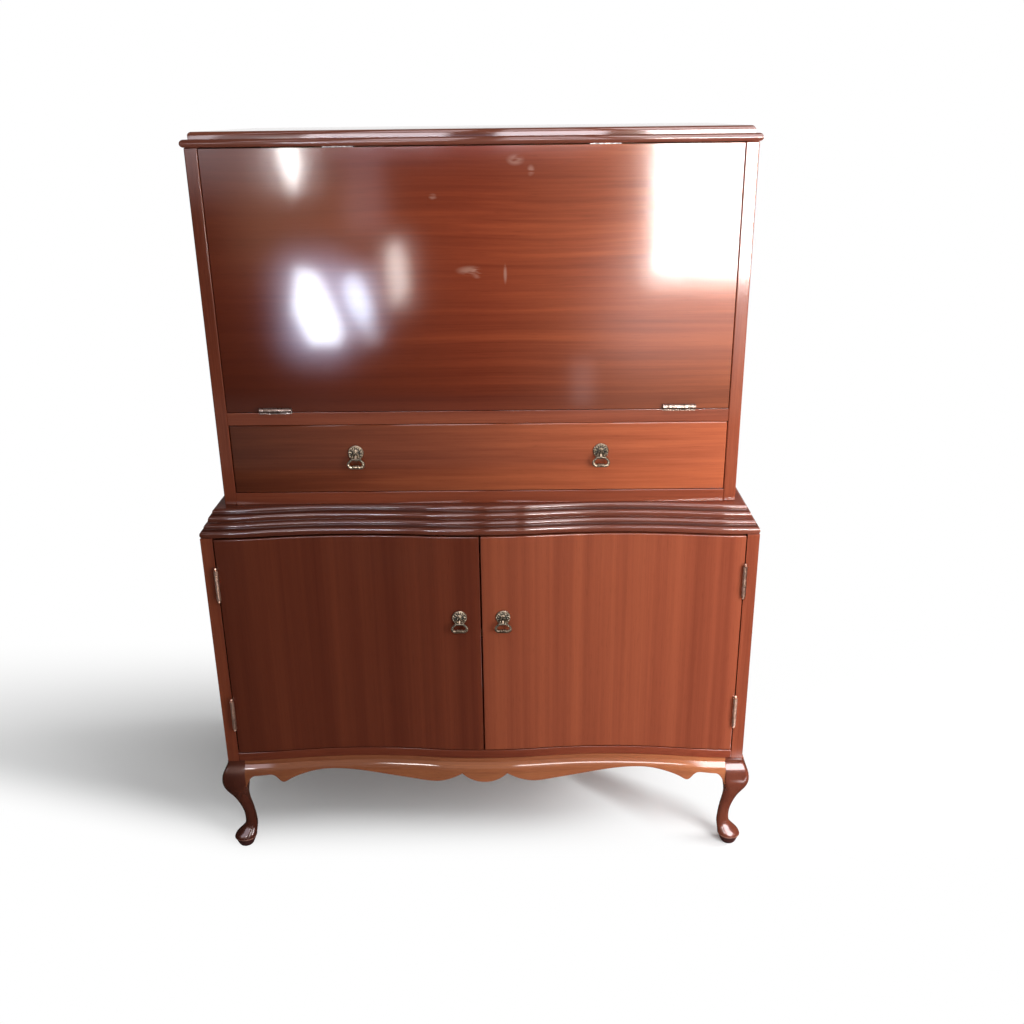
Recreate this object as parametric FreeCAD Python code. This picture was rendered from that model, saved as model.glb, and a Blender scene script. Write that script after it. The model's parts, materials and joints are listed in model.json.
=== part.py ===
"""A bar cabinet with a fold out shelf, as separate pieces in one frame.

Millimetres, +Z up. X = 0 is the middle of the cabinet, Z = 0 the floor, and Y = 0 the middle of the
lower case's depth. The front is towards -Y. Setbacks are distances from the lower case's front plane
towards the back, and are negative in front of it.
"""
import FreeCAD, Part

import math
import os

Vector = FreeCAD.Vector

# ---- driving dimensions: cases
LOWER_WIDTH = 920.0
LOWER_DEPTH = 450.0
UPPER_WIDTH = 848.0
UPPER_SETBACK = 41.0
SIDE_THICKNESS = 20.0
BACK_THICKNESS = 6.0
BASE_HEIGHT = 186.0
BOTTOM_BOARD = 16.0
CUPBOARD_HEIGHT = 415.0
TIER_HEIGHT = 22.0
DRAWER_BOARD = 21.0
DRAWER_OPENING = 116.0
FLOOR_BOARD = 21.0
BAR_HEIGHT = 404.0
TOP_BOARD = 22.0

# ---- driving dimensions: serpentine front
VALLEY_X = 215.0
VALLEY_DEPTH = 16.0
CENTRE_DEPTH = 4.0
VALLEY_SHARE = 0.557

# ---- driving dimensions: mouldings
TIER_STEP = 13.0
TIER_SWEPT = 50.0
TIER_NOSING = 4.5
TIER_FILLET = 1.5
TIER_COVE = 4.0
TIER_BEAD = 2.5
TIER_GROOVE = 1.0
TOP_OVERHANG = 4.5
TOP_BEAD_HEIGHT = 11.5
TOP_STEP = 10.5
TOP_FILLET = 5.0
ROLL_RADIUS = 22.0
ROLL_PROUD = 11.0
ROLL_FILLET = 1.0
ROLL_DROP = 26.0

# ---- driving dimensions: base
LEG_POST = 30.0
APRON_THICKNESS = 20.0
APRON_DROP = 66.0
BACK_RAIL_HEIGHT = 36.0
CORNER_BLOCK = 26.0
SOLE_HEIGHT = 17.0
SOLE_RADIUS = 12.4
SOLE_TOP_RADIUS = 19.3

# Pad foot: height above the sole, distance of the section's centre in from the case corner,
# half width, corner radius.
FOOT_SECTIONS = [
    (0.0, 12.0, 20.0, 19.5),
    (5.0, 13.5, 18.9, 18.4),
    (10.0, 16.6, 16.2, 15.7),
    (17.0, 21.0, 12.4, 11.9),
]
# Ankle and shin: share of the way from the foot up to the knee, then as for the foot.
SHIN_SECTIONS = [
    (0.13, 22.5, 10.5, 10.0),
    (0.365, 21.6, 9.9, 9.4),
    (0.66, 17.8, 10.8, 9.8),
]
# Knee and post: drop below the case, how far it stands out from the case, how far its inner faces
# lie outside the post's, corner radius.
KNEE_SECTIONS = [
    (75.0, 2.6, 3.4, 12.0),
    (56.0, 11.2, 1.0, 13.0),
    (43.0, 13.8, 0.0, 12.0),
    (29.0, 12.4, 0.0, 9.0),
    (19.0, 8.8, 0.0, 6.0),
    (7.0, 1.6, 0.0, 3.5),
    (0.0, 1.2, 0.0, 3.0),
]

# Lower edge of the front apron. Lobe: drop at the middle, half width, drop of the cusp beside it.
APRON_LOBE = (43.5, 40.0, 26.0)
# From the cusp outwards: share of the way to the ear, drop below the case.
APRON_SWAG = [
    (0.08, 37.0),
    (0.18, 43.5),
    (0.32, 41.0),
    (0.50, 34.0),
    (0.67, 26.0),
    (0.86, 20.5),
]
# The ear beside a leg: distance from the leg's post, drop below the case.
APRON_EAR = [
    (128.0, 21.5),
    (98.0, 28.5),
    (76.0, 38.2),
    (64.0, 40.5),
    (55.0, 29.5),
    (42.0, 25.0),
    (22.0, 26.2),
    (8.0, 33.0),
    (0.0, 50.0),
]
SIDE_APRON_DROP = 21.0
CUT_OVERRUN = 20.0

# ---- driving dimensions: doors
DOOR_THICKNESS = 20.0
DOOR_SIDE_GAP = 1.5
DOOR_MEETING_GAP = 2.4
DOOR_FOOT_GAP = 1.5
DOOR_HEAD_GAP = 3.0

# ---- driving dimensions: flap
FLAP_THICKNESS = 20.0
FLAP_GAP = 1.0
FLAP_HEAD_GAP = 1.5
FLAP_SWING = 90.0
FLAP_AXIS_PROUD = 3.0
FLAP_AXIS_RISE = 3.5

# ---- driving dimensions: hinges
PIN_RADIUS = 1.3
PIN_FIT = 0.05
LEAF_THICKNESS = 1.2
LEAF_WIDTH = 18.0
KNUCKLE_JOINT = 0.3
DOOR_KNUCKLE_RADIUS = 3.5
DOOR_HINGE_LENGTH = 55.0
DOOR_HINGE_PROUD = 4.0
DOOR_HINGE_INSET = 80.0
DOOR_LEAF_OFFSET = 0.3
FINIAL_RADIUS = 2.4
FLAP_KNUCKLE_RADIUS = 3.9
FLAP_HINGE_LENGTH = 52.0
FLAP_HINGE_INSET = 79.0
FLAP_NOTCH_CLEARANCE = 0.5
LEAF_CLEARANCE = 0.3
SCREW_RADIUS = 1.4
SCREW_HEAD_RADIUS = 2.6
SCREW_LENGTH = 12.0
SCREW_PITCH = 20.0

# ---- driving dimensions: stays
STAY_RADIUS = 200.0
STAY_FLAP_ANGLE = 80.0
STAY_CASE_ANGLE = 50.0
STAY_WIDTH = 14.0
STAY_THICKNESS = 2.0
STAY_WALL_GAP = 5.0
STAY_SIDE_PLAY = 0.3
STAY_STUD_RADIUS = 3.0
STAY_SLOT_PLAY = 0.3
STAY_PIN_RADIUS = 2.4
STAY_HEAD_RADIUS = 5.5
STAY_HEAD_THICKNESS = 1.5
STAY_FLANGE_RADIUS = 8.0
BRACKET_PLATE = 2.0
BRACKET_EAR = 2.5
BRACKET_WIDTH = 22.0
BRACKET_HEIGHT = 26.0

# ---- driving dimensions: shelves and catches
SHELF_THICKNESS = 14.0
BAR_SHELF_RISE = 211.0
BAR_SHELF_SETBACK = 144.0
CUPBOARD_SHELF_RISE = 198.0
CUPBOARD_SHELF_SETBACK = 65.0
BEARER_WIDTH = 12.0
BEARER_HEIGHT = 18.0
BEARER_INSET = 8.0
CATCH_LENGTH = 46.0
CATCH_DEPTH = 14.0
CATCH_HEIGHT = 13.0
CATCH_GAP = 0.3
STRIKE_THICKNESS = 1.2
STRIKE_LENGTH = 40.0
STRIKE_HEIGHT = 12.0
STRIKE_PACKING = 6.0
FLAP_CATCH_X = 200.0
DOOR_CATCH_X = 45.0

# ---- driving dimensions: drawer
DRAWER_FRONT_THICKNESS = 20.0
DRAWER_FRONT_GAP = 0.8
DRAWER_REAR_GAP = 35.0
DRAWER_SIDE_THICKNESS = 12.0
DRAWER_SIDE_MARGIN = 9.0
DRAWER_RUN_GAP = 0.3
DRAWER_BOTTOM_RISE = 8.0
DRAWER_BOTTOM_THICKNESS = 5.0
DRAWER_GUIDE_HEIGHT = 20.0
DRAWER_KICKER_WIDTH = 20.0
DRAWER_KICKER_HEIGHT = 27.4
STOP_HEIGHT = 6.0
STOP_LENGTH = 30.0
STOP_DEPTH = 14.0
STOP_X = 150.0

# ---- driving dimensions: ring pulls
PLATE_RADIUS = 12.5
PLATE_THICKNESS = 3.0
PLATE_SEAT = 2.0
MASK_RADIUS = 9.0
MASK_TIP_RADIUS = 6.75
MASK_DEPTH = 4.5
MUZZLE_RADIUS = 4.0
MUZZLE_DEPTH = 11.5
RING_DROP = 9.0
RING_STAND_OFF = 8.0
RING_WIRE_RADIUS = 2.0
RING_TOP_HALF = 6.5
RING_FOOT_HALF = 20.0
RING_HEIGHT = 14.0
RING_TOP_FILLET = 2.5
RING_FOOT_FILLET = 5.5
RING_BORE_CLEARANCE = 0.05
DRAWER_PULL_X = 200.0
DRAWER_PULL_RISE = 68.0
DOOR_PULL_X = 37.0
DOOR_PULL_DROP = 150.0

# ---- planes and levels
FRONT = -LOWER_DEPTH / 2
BACK = LOWER_DEPTH / 2
BACK_PANEL_FACE = BACK - BACK_THICKNESS
HALF = LOWER_WIDTH / 2
INNER_HALF = HALF - SIDE_THICKNESS
UPPER_FRONT = FRONT + UPPER_SETBACK
UPPER_HALF = UPPER_WIDTH / 2
UPPER_INNER = UPPER_HALF - SIDE_THICKNESS
CUPBOARD_FLOOR = BASE_HEIGHT + BOTTOM_BOARD
WAIST = BASE_HEIGHT + BOTTOM_BOARD + CUPBOARD_HEIGHT
UPPER_BASE = WAIST + 2 * TIER_HEIGHT
DRAWER_FLOOR = UPPER_BASE + DRAWER_BOARD
FLOOR_UNDER = DRAWER_FLOOR + DRAWER_OPENING
BAR_FLOOR = FLOOR_UNDER + FLOOR_BOARD
BAR_CEILING = BAR_FLOOR + BAR_HEIGHT
TOTAL_HEIGHT = BAR_CEILING + TOP_BOARD
BAR_SHELF_HEIGHT = BAR_FLOOR + BAR_SHELF_RISE
BAR_SHELF_FRONT = UPPER_FRONT + BAR_SHELF_SETBACK
CUPBOARD_SHELF_HEIGHT = CUPBOARD_FLOOR + CUPBOARD_SHELF_RISE
CUPBOARD_SHELF_FRONT = FRONT + CUPBOARD_SHELF_SETBACK
DRAWER_PULL_HEIGHT = DRAWER_FLOOR + DRAWER_PULL_RISE
DOOR_PULL_HEIGHT = WAIST - DOOR_PULL_DROP
ROLL_HEIGHT = BASE_HEIGHT - ROLL_DROP
APRON_LOWEST = BASE_HEIGHT - APRON_DROP

# ---- serpentine: five tangent arcs, worked out from the valley and the centre
def ogee_radii(run, rise):
    """The sum of the two radii of an ogee that starts and ends level."""
    return (run ** 2 + rise ** 2) / (2 * rise)


INNER_OGEE = ogee_radii(VALLEY_X, VALLEY_DEPTH - CENTRE_DEPTH)
OUTER_OGEE = ogee_radii(HALF - VALLEY_X, VALLEY_DEPTH)
CONCAVE_RADIUS = VALLEY_SHARE * min(INNER_OGEE, OUTER_OGEE)
CONVEX_RADIUS = INNER_OGEE - CONCAVE_RADIUS
END_RADIUS = OUTER_OGEE - CONCAVE_RADIUS
CENTRE_PIVOT = Vector(0, FRONT + CENTRE_DEPTH + CONVEX_RADIUS, 0)
VALLEY_PIVOT = Vector(VALLEY_X, FRONT + VALLEY_DEPTH - CONCAVE_RADIUS, 0)
END_PIVOT = Vector(HALF, FRONT + END_RADIUS, 0)

# ---- hinge axes
DOOR_EDGE = INNER_HALF - DOOR_SIDE_GAP
DOOR_AXIS_X = INNER_HALF - DOOR_SIDE_GAP / 2
DOOR_AXIS_Y = FRONT - DOOR_HINGE_PROUD
FLAP_FOOT = BAR_FLOOR + FLAP_GAP
FLAP_AXIS_Y = UPPER_FRONT - FLAP_AXIS_PROUD
FLAP_AXIS_Z = FLAP_FOOT + FLAP_AXIS_RISE
FLAP_BACK = UPPER_FRONT + FLAP_THICKNESS
FLAP_HALF = UPPER_INNER - FLAP_GAP
FLAP_HEAD = BAR_CEILING - FLAP_HEAD_GAP
FLAP_HINGE_X = FLAP_HALF - FLAP_HINGE_INSET
DOOR_FOOT = CUPBOARD_FLOOR + DOOR_FOOT_GAP
DOOR_HEAD = WAIST - DOOR_HEAD_GAP
DOOR_HINGE_HEIGHTS = (DOOR_FOOT + DOOR_HINGE_INSET, DOOR_HEAD - DOOR_HINGE_INSET)


# ---- general shapes
def box(x0, x1, y0, y1, z0, z1):
    return Part.makeBox(x1 - x0, y1 - y0, z1 - z0, Vector(x0, y0, z0))


def cylinder(radius, start, direction, length):
    return Part.makeCylinder(radius, length, start, direction)


def mirrored(shape):
    """The same piece on the other side of the cabinet."""
    return shape.mirror(Vector(0, 0, 0), Vector(1, 0, 0))


def mirrored_back(shape):
    """The same piece at the back instead of the front."""
    return shape.mirror(Vector(0, 0, 0), Vector(0, 1, 0))


def both_sides(shape):
    return [shape, mirrored(shape)]


def joined(shapes):
    return shapes[0].multiFuse(shapes[1:]).removeSplitter()


def line(a, b):
    return Part.makeLine(a, b)


def arc_about(centre, radius, start, end):
    """The short arc of a circle between two points on it."""
    middle = (start + end) / 2 - centre
    middle.normalize()
    return Part.Arc(start, centre + middle * radius, end).toShape()


def outline(start, moves, place):
    """Edges of a flat outline. A move is an end point, or a point on an arc and its end point."""
    edges = []
    at = start
    for move in moves:
        if isinstance(move[0], tuple):
            through, end = move
            edges.append(Part.Arc(place(*at), place(*through), place(*end)).toShape())
        else:
            end = move
            edges.append(line(place(*at), place(*end)))
        at = end
    return edges


def quarter(corner_a, corner_b, centre):
    """The middle of the arc between two points at the same distance from a centre."""
    middle_x = (corner_a[0] + corner_b[0]) / 2 - centre[0]
    middle_y = (corner_a[1] + corner_b[1]) / 2 - centre[1]
    radius = math.hypot(corner_a[0] - centre[0], corner_a[1] - centre[1])
    reach = radius / math.hypot(middle_x, middle_y)
    return (centre[0] + middle_x * reach, centre[1] + middle_y * reach)


# ---- serpentine front
def front_tip(setback, reach):
    """Where the serpentine at a setback reaches an x past the case corner."""
    radius = END_RADIUS - setback
    return Vector(reach, END_PIVOT.y - math.sqrt(radius ** 2 - (reach - HALF) ** 2), 0)


def front_line(setback, reach):
    """Edges of the serpentine at a setback, from -reach to +reach, as arcs about the same centres."""
    concave = CONCAVE_RADIUS + setback
    convex = CONVEX_RADIUS - setback
    end = END_RADIUS - setback
    towards_centre = CENTRE_PIVOT - VALLEY_PIVOT
    towards_centre.normalize()
    towards_end = END_PIVOT - VALLEY_PIVOT
    towards_end.normalize()
    inner = VALLEY_PIVOT + towards_centre * concave
    outer = VALLEY_PIVOT + towards_end * concave
    right = [
        arc_about(VALLEY_PIVOT, concave, inner, outer),
        arc_about(END_PIVOT, end, outer, front_tip(setback, reach)),
    ]
    centre = arc_about(CENTRE_PIVOT, convex, Vector(-inner.x, inner.y, 0), inner)
    left = [mirrored(edge) for edge in reversed(right)]
    return left + [centre] + right


def front_setback(x):
    """How far the serpentine lies behind the front plane near the middle of the cabinet."""
    return CENTRE_DEPTH + CONVEX_RADIUS - math.sqrt(CONVEX_RADIUS ** 2 - x ** 2)


def serpentine_board(setback, depth, half_width, z0, z1, parallel_back=False):
    """A board with a serpentine front. Its back is parallel to the front or flat."""
    reach = HALF + SIDE_THICKNESS
    edges = front_line(setback, reach)
    front_end = front_tip(setback, reach)
    if parallel_back:
        edges = edges + front_line(setback + depth, reach)
        back_end = front_tip(setback + depth, reach)
    else:
        back_end = Vector(reach, FRONT + setback + depth, 0)
        edges.append(line(Vector(-back_end.x, back_end.y, 0), back_end))
    edges += both_sides(line(front_end, back_end))
    face = Part.Face(Part.Wire(Part.__sortEdges__(edges)))
    slab = face.extrude(Vector(0, 0, z1 - z0))
    slab.translate(Vector(0, 0, z0))
    clip = box(-half_width, half_width, FRONT - CUT_OVERRUN, BACK + CUT_OVERRUN, z0, z1)
    return slab.common(clip)


# ---- moulding profiles: (setback from the outermost plane, height)
def tier_profile():
    """Nosing, fillet and cove over a bead, from the board's top down to its underside."""
    top = TIER_HEIGHT
    depth = TIER_NOSING + TIER_COVE + TIER_BEAD
    nose = (depth, top)
    nose_end = (depth - TIER_NOSING, top - TIER_NOSING)
    cove = (nose_end[0], nose_end[1] - TIER_FILLET)
    cove_end = (TIER_BEAD, cove[1] - TIER_COVE)
    bead = (TIER_BEAD, cove_end[1] - TIER_GROOVE)
    bead_end = (TIER_BEAD, TIER_GROOVE)
    moves = [
        (quarter(nose, nose_end, (nose[0], nose_end[1])), nose_end),
        cove,
        (quarter(cove, cove_end, (cove_end[0], cove[1])), cove_end),
        bead,
        ((0, (bead[1] + bead_end[1]) / 2), bead_end),
        (TIER_BEAD, 0),
    ]
    return nose, moves


def top_profile():
    """A quarter round set back above a half round nose."""
    nose_radius = TOP_BEAD_HEIGHT / 2
    round_height = TOP_BOARD - TOP_BEAD_HEIGHT - TOP_FILLET
    shoulder = (TOP_STEP, TOP_BEAD_HEIGHT + TOP_FILLET)
    start = (TOP_STEP + round_height, TOP_BOARD)
    moves = [
        (quarter(start, shoulder, (start[0], shoulder[1])), shoulder),
        (TOP_STEP, TOP_BEAD_HEIGHT),
        (nose_radius, TOP_BEAD_HEIGHT),
        ((0, nose_radius), (nose_radius, 0)),
    ]
    return start, moves


def roll_profile():
    """A roll over the upright face of an apron, in heights above the floor."""
    centre = (ROLL_RADIUS - ROLL_PROUD, ROLL_HEIGHT)
    rise = math.sqrt(ROLL_RADIUS ** 2 - (centre[0] + ROLL_FILLET) ** 2)
    start = (APRON_THICKNESS - ROLL_PROUD, BASE_HEIGHT)
    roll = (-ROLL_FILLET, ROLL_HEIGHT + rise)
    roll_end = (-ROLL_PROUD, ROLL_HEIGHT)
    moves = [
        (-ROLL_FILLET, BASE_HEIGHT),
        roll,
        (quarter(roll, roll_end, centre), roll_end),
        (-ROLL_PROUD, APRON_LOWEST),
        (start[0], APRON_LOWEST),
        start,
    ]
    return start, moves


def straight_slab(profile, half_width, z0, across_x):
    """A board moulded on two opposite edges, long in the other direction."""
    start, moves = profile
    span = LOWER_WIDTH + LOWER_DEPTH

    def place(setback, height):
        if across_x:
            return Vector(half_width - setback, -span / 2, z0 + height)
        return Vector(-span / 2, half_width + setback, z0 + height)

    edges = outline(start, moves, place)
    lowest = moves[-1] if not isinstance(moves[-1][0], tuple) else moves[-1][1]
    if across_x:
        edges = edges + [mirrored(edge) for edge in edges]
        for level in (start, lowest):
            end = place(*level)
            edges.append(line(end, Vector(-end.x, end.y, end.z)))
        direction = Vector(0, span, 0)
    else:
        top, foot = place(*start), place(*lowest)
        rear_top, rear_foot = Vector(top.x, BACK, top.z), Vector(foot.x, BACK, foot.z)
        edges += [line(top, rear_top), line(rear_top, rear_foot), line(rear_foot, foot)]
        direction = Vector(span, 0, 0)
    return Part.Face(Part.Wire(Part.__sortEdges__(edges))).extrude(direction)


def serpentine_sweep(profile, reach, z0, filled_to):
    """A profile carried along the serpentine, closed behind at the setback filled_to."""
    start, moves = profile

    tip = front_tip(0, reach)
    foot = Vector(-tip.x, tip.y, z0)
    inward = Vector(-END_PIVOT.x, END_PIVOT.y, z0) - foot
    inward.normalize()

    def place(setback, height):
        return foot + inward * setback + Vector(0, 0, height)

    edges = outline(start, moves, place)
    lowest = moves[-1] if not isinstance(moves[-1][0], tuple) else moves[-1][1]
    if lowest != start:
        corners = [lowest, (filled_to, lowest[1]), (filled_to, start[1]), start]
        edges += [line(place(*a), place(*b)) for a, b in zip(corners, corners[1:])]
    section = Part.Wire(Part.__sortEdges__(edges))
    path = Part.Wire(front_line(0, reach))
    return path.makePipeShell([section], True, False)


# ---- carcase
def upper_side():
    """Right hand side of the upper case. Its front edge is the stile."""
    return box(UPPER_INNER, UPPER_HALF, UPPER_FRONT, BACK, UPPER_BASE, BAR_CEILING)


def lower_side():
    """Right hand side of the lower case."""
    return box(INNER_HALF, HALF, FRONT, BACK, BASE_HEIGHT, WAIST)


def waist_tier(step, z0):
    """One moulded board of the waist, stepped in from the lower case's outline."""
    reach = HALF + SIDE_THICKNESS
    sweep = serpentine_sweep(tier_profile(), reach, z0, TIER_SWEPT)
    body_front = FRONT + (TIER_SWEPT + VALLEY_DEPTH) / 2
    body = box(-reach, reach, body_front, BACK - step, z0, z0 + TIER_HEIGHT)
    front = sweep.fuse(body)
    front.translate(Vector(0, step, 0))
    sides = straight_slab(tier_profile(), HALF - step, z0, True)
    return front.common(sides).removeSplitter()


def top_board():
    z0 = BAR_CEILING
    across = straight_slab(top_profile(), UPPER_HALF + TOP_OVERHANG, z0, True)
    along = straight_slab(top_profile(), UPPER_FRONT - TOP_OVERHANG, z0, False)
    return across.common(along).removeSplitter()


def cross_board(half_width, front_y, z0, thickness):
    return box(-half_width, half_width, front_y, BACK_PANEL_FACE, z0, z0 + thickness)


def bearer(half_width, front_y, shelf_height):
    """The strip under the right hand end of a shelf."""
    return box(
        half_width - BEARER_WIDTH,
        half_width,
        front_y + BEARER_INSET,
        BACK_PANEL_FACE,
        shelf_height - BEARER_HEIGHT,
        shelf_height,
    )


# ---- base
def leg_section(height, inset, half, corner):
    """A rounded square about a point on the diagonal through the case corner."""
    cx = HALF - inset
    cy = FRONT + inset
    flat = half - corner
    edges = []
    for turn in range(4):
        angle = math.radians(90 * turn)
        across = Vector(math.cos(angle), math.sin(angle), 0)
        along = Vector(-math.sin(angle), math.cos(angle), 0)
        middle = Vector(cx, cy, height)
        side_start = middle + across * half - along * flat
        side_end = middle + across * half + along * flat
        pivot = middle + across * flat + along * flat
        arc_end = middle + across * flat + along * half
        edges.append(line(side_start, side_end))
        edges.append(arc_about(pivot, corner, side_end, arc_end))
    return Part.Wire(edges)


def leg_stations():
    """Every section of a leg from the sole up: height, inset, half width, corner radius."""
    stations = [(SOLE_HEIGHT + rise, inset, half, corner) for rise, inset, half, corner in FOOT_SECTIONS]
    ankle = stations[-1][0]
    knee = BASE_HEIGHT - KNEE_SECTIONS[0][0]
    for share, inset, half, corner in SHIN_SECTIONS:
        stations.append((ankle + share * (knee - ankle), inset, half, corner))
    for drop, proud, short, corner in KNEE_SECTIONS:
        inner = LEG_POST - short
        stations.append((BASE_HEIGHT - drop, (inner - proud) / 2, (inner + proud) / 2, corner))
    return stations


def front_leg():
    """Right hand front cabriole leg: knee, ankle, pad foot and sole."""
    limb = Part.makeLoft([leg_section(*station) for station in leg_stations()], True, False)
    inset = FOOT_SECTIONS[0][1]
    sole = Part.makeCone(
        SOLE_RADIUS, SOLE_TOP_RADIUS, SOLE_HEIGHT, Vector(HALF - inset, FRONT + inset, 0), Vector(0, 0, 1)
    )
    return limb.fuse(sole)


def spline(points):
    curve = Part.BSplineCurve()
    curve.interpolate(points)
    return curve.toShape()


def below_edge(edges, start, end, depth_vector):
    """The solid under a lower edge, to be taken off an apron."""
    floor_start = Vector(start.x, start.y, 0)
    floor_end = Vector(end.x, end.y, 0)
    closing = [line(end, floor_end), line(floor_end, floor_start), line(floor_start, start)]
    face = Part.Face(Part.Wire(Part.__sortEdges__(edges + closing)))
    return face.extrude(depth_vector)


def apron_front(legs):
    """Serpentine front apron with a roll above and a lobed lower edge."""
    sweep = serpentine_sweep(roll_profile(), HALF + SIDE_THICKNESS, 0, 0)
    near = FRONT - ROLL_PROUD - CUT_OVERRUN
    lobe_drop, cusp_x, cusp_drop = APRON_LOBE
    cusp = Vector(cusp_x, near, BASE_HEIGHT - cusp_drop)
    lobe_foot = Vector(0, near, BASE_HEIGHT - lobe_drop)
    lobe = Part.Arc(Vector(-cusp.x, near, cusp.z), lobe_foot, cusp).toShape()
    ear = [Vector(HALF - LEG_POST - along, near, BASE_HEIGHT - drop) for along, drop in APRON_EAR]
    run = ear[0].x - cusp_x
    swag = [Vector(cusp_x + share * run, near, BASE_HEIGHT - drop) for share, drop in APRON_SWAG]
    half_edge = spline([cusp] + swag + ear)
    last = ear[-1]
    waste = below_edge(
        [half_edge, mirrored(half_edge), lobe],
        Vector(-last.x, near, last.z),
        last,
        Vector(0, -near, 0),
    )
    span = box(-last.x, last.x, near, 0, APRON_LOWEST, BASE_HEIGHT)
    apron = sweep.common(span).cut(waste)
    return apron.cut(Part.makeCompound(legs))


def apron_right(legs):
    """Straight side apron, with the same roll and the same ears beside the legs."""
    start, moves = roll_profile()

    def place(setback, height):
        return Vector(HALF - setback, FRONT + LEG_POST, height)

    length = LOWER_DEPTH - 2 * LEG_POST
    face = Part.Face(Part.Wire(outline(start, moves, place)))
    board = face.extrude(Vector(0, length, 0))
    near = HALF - APRON_THICKNESS - CUT_OVERRUN
    post = FRONT + LEG_POST
    front_ear = [Vector(near, post + along, BASE_HEIGHT - drop) for along, drop in reversed(APRON_EAR)]
    middle = Vector(near, 0, BASE_HEIGHT - SIDE_APRON_DROP)
    back_ear = [Vector(near, -point.y, point.z) for point in reversed(front_ear)]
    edge = spline(front_ear + [middle] + back_ear)
    past = HALF + ROLL_PROUD + CUT_OVERRUN
    waste = below_edge([edge], front_ear[0], back_ear[-1], Vector(past - near, 0, 0))
    return board.cut(waste).cut(Part.makeCompound(legs))


def apron_back(legs):
    reach = HALF - LEG_POST
    rail = box(-reach, reach, BACK - APRON_THICKNESS, BACK, BASE_HEIGHT - BACK_RAIL_HEIGHT, BASE_HEIGHT)
    return rail.cut(Part.makeCompound(legs))


def corner_block():
    """Glue block between the right front leg, the side apron and the board above."""
    apron_inside = HALF - APRON_THICKNESS + ROLL_PROUD
    leg_behind = FRONT + LEG_POST + KNUCKLE_JOINT
    return box(
        apron_inside - CORNER_BLOCK,
        apron_inside,
        leg_behind,
        leg_behind + CORNER_BLOCK,
        BASE_HEIGHT - CORNER_BLOCK,
        BASE_HEIGHT,
    )


# ---- screws
def screw(point, direction):
    """Countersunk wood screw whose flat head lies at a point and whose shank runs in a direction."""
    head = Part.makeCone(SCREW_HEAD_RADIUS, SCREW_RADIUS, LEAF_THICKNESS, point, direction)
    return head.fuse(cylinder(SCREW_RADIUS, point, direction, SCREW_LENGTH))


def leaf_screws(head_point, direction, spread):
    """Two screws of one hinge leaf, spread along the hinge."""
    return [screw(head_point + spread * side, direction) for side in (-0.5, 0.5)]


# ---- door hinges, for the right hand door
def knuckle_spans(length):
    """Start and end of the three knuckles of a hinge, measured from its middle."""
    third = length / 3
    gap = KNUCKLE_JOINT / 2
    return [
        (-length / 2, -third / 2 - gap),
        (-third / 2 + gap, third / 2 - gap),
        (third / 2 + gap, length / 2),
    ]


def door_leaf(side, knuckles, height):
    """A leaf beside the axis, with its knuckles. side is +1 on the case and -1 on the door."""
    near = DOOR_AXIS_X + side * DOOR_LEAF_OFFSET
    far = near + side * LEAF_THICKNESS
    x0, x1 = sorted((near, far))
    half = DOOR_HINGE_LENGTH / 2
    clear = DOOR_AXIS_Y + DOOR_KNUCKLE_RADIUS + LEAF_CLEARANCE
    back = FRONT + LEAF_WIDTH
    pieces = [box(x0, x1, clear, back, height - half, height + half)]
    for low, high in knuckles:
        axis_foot = Vector(DOOR_AXIS_X, DOOR_AXIS_Y, height + low)
        pieces.append(cylinder(DOOR_KNUCKLE_RADIUS, axis_foot, Vector(0, 0, 1), high - low))
        pieces.append(box(x0, x1, DOOR_AXIS_Y, clear, height + low, height + high))
    leaf = joined(pieces)
    foot = Vector(DOOR_AXIS_X, DOOR_AXIS_Y, height - half)
    bore = cylinder(PIN_RADIUS + PIN_FIT, foot, Vector(0, 0, 1), DOOR_HINGE_LENGTH)
    return leaf.cut(bore)


def door_pin(height):
    """Pin with a ball finial at each end."""
    half = DOOR_HINGE_LENGTH / 2
    foot = Vector(DOOR_AXIS_X, DOOR_AXIS_Y, height - half - FINIAL_RADIUS)
    pin = cylinder(PIN_RADIUS, foot, Vector(0, 0, 1), DOOR_HINGE_LENGTH + 2 * FINIAL_RADIUS)
    reach = half + FINIAL_RADIUS + KNUCKLE_JOINT
    for end in (-reach, reach):
        pin = pin.fuse(Part.makeSphere(FINIAL_RADIUS, Vector(DOOR_AXIS_X, DOOR_AXIS_Y, height + end)))
    return pin


def door_leaf_screws(side, height):
    head_x = DOOR_AXIS_X + side * DOOR_LEAF_OFFSET
    middle = Vector(head_x, FRONT + LEAF_WIDTH / 2 + SCREW_RADIUS, height)
    return leaf_screws(middle, Vector(side, 0, 0), Vector(0, 0, SCREW_PITCH))


def door_leaf_recess(side, height):
    """The wood taken out for a leaf, from the edge it lies against."""
    far = DOOR_AXIS_X + side * (DOOR_LEAF_OFFSET + LEAF_THICKNESS)
    x0, x1 = sorted((DOOR_AXIS_X, far))
    half = DOOR_HINGE_LENGTH / 2
    return box(x0, x1, FRONT - DOOR_HINGE_PROUD, FRONT + LEAF_WIDTH, height - half, height + half)


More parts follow.
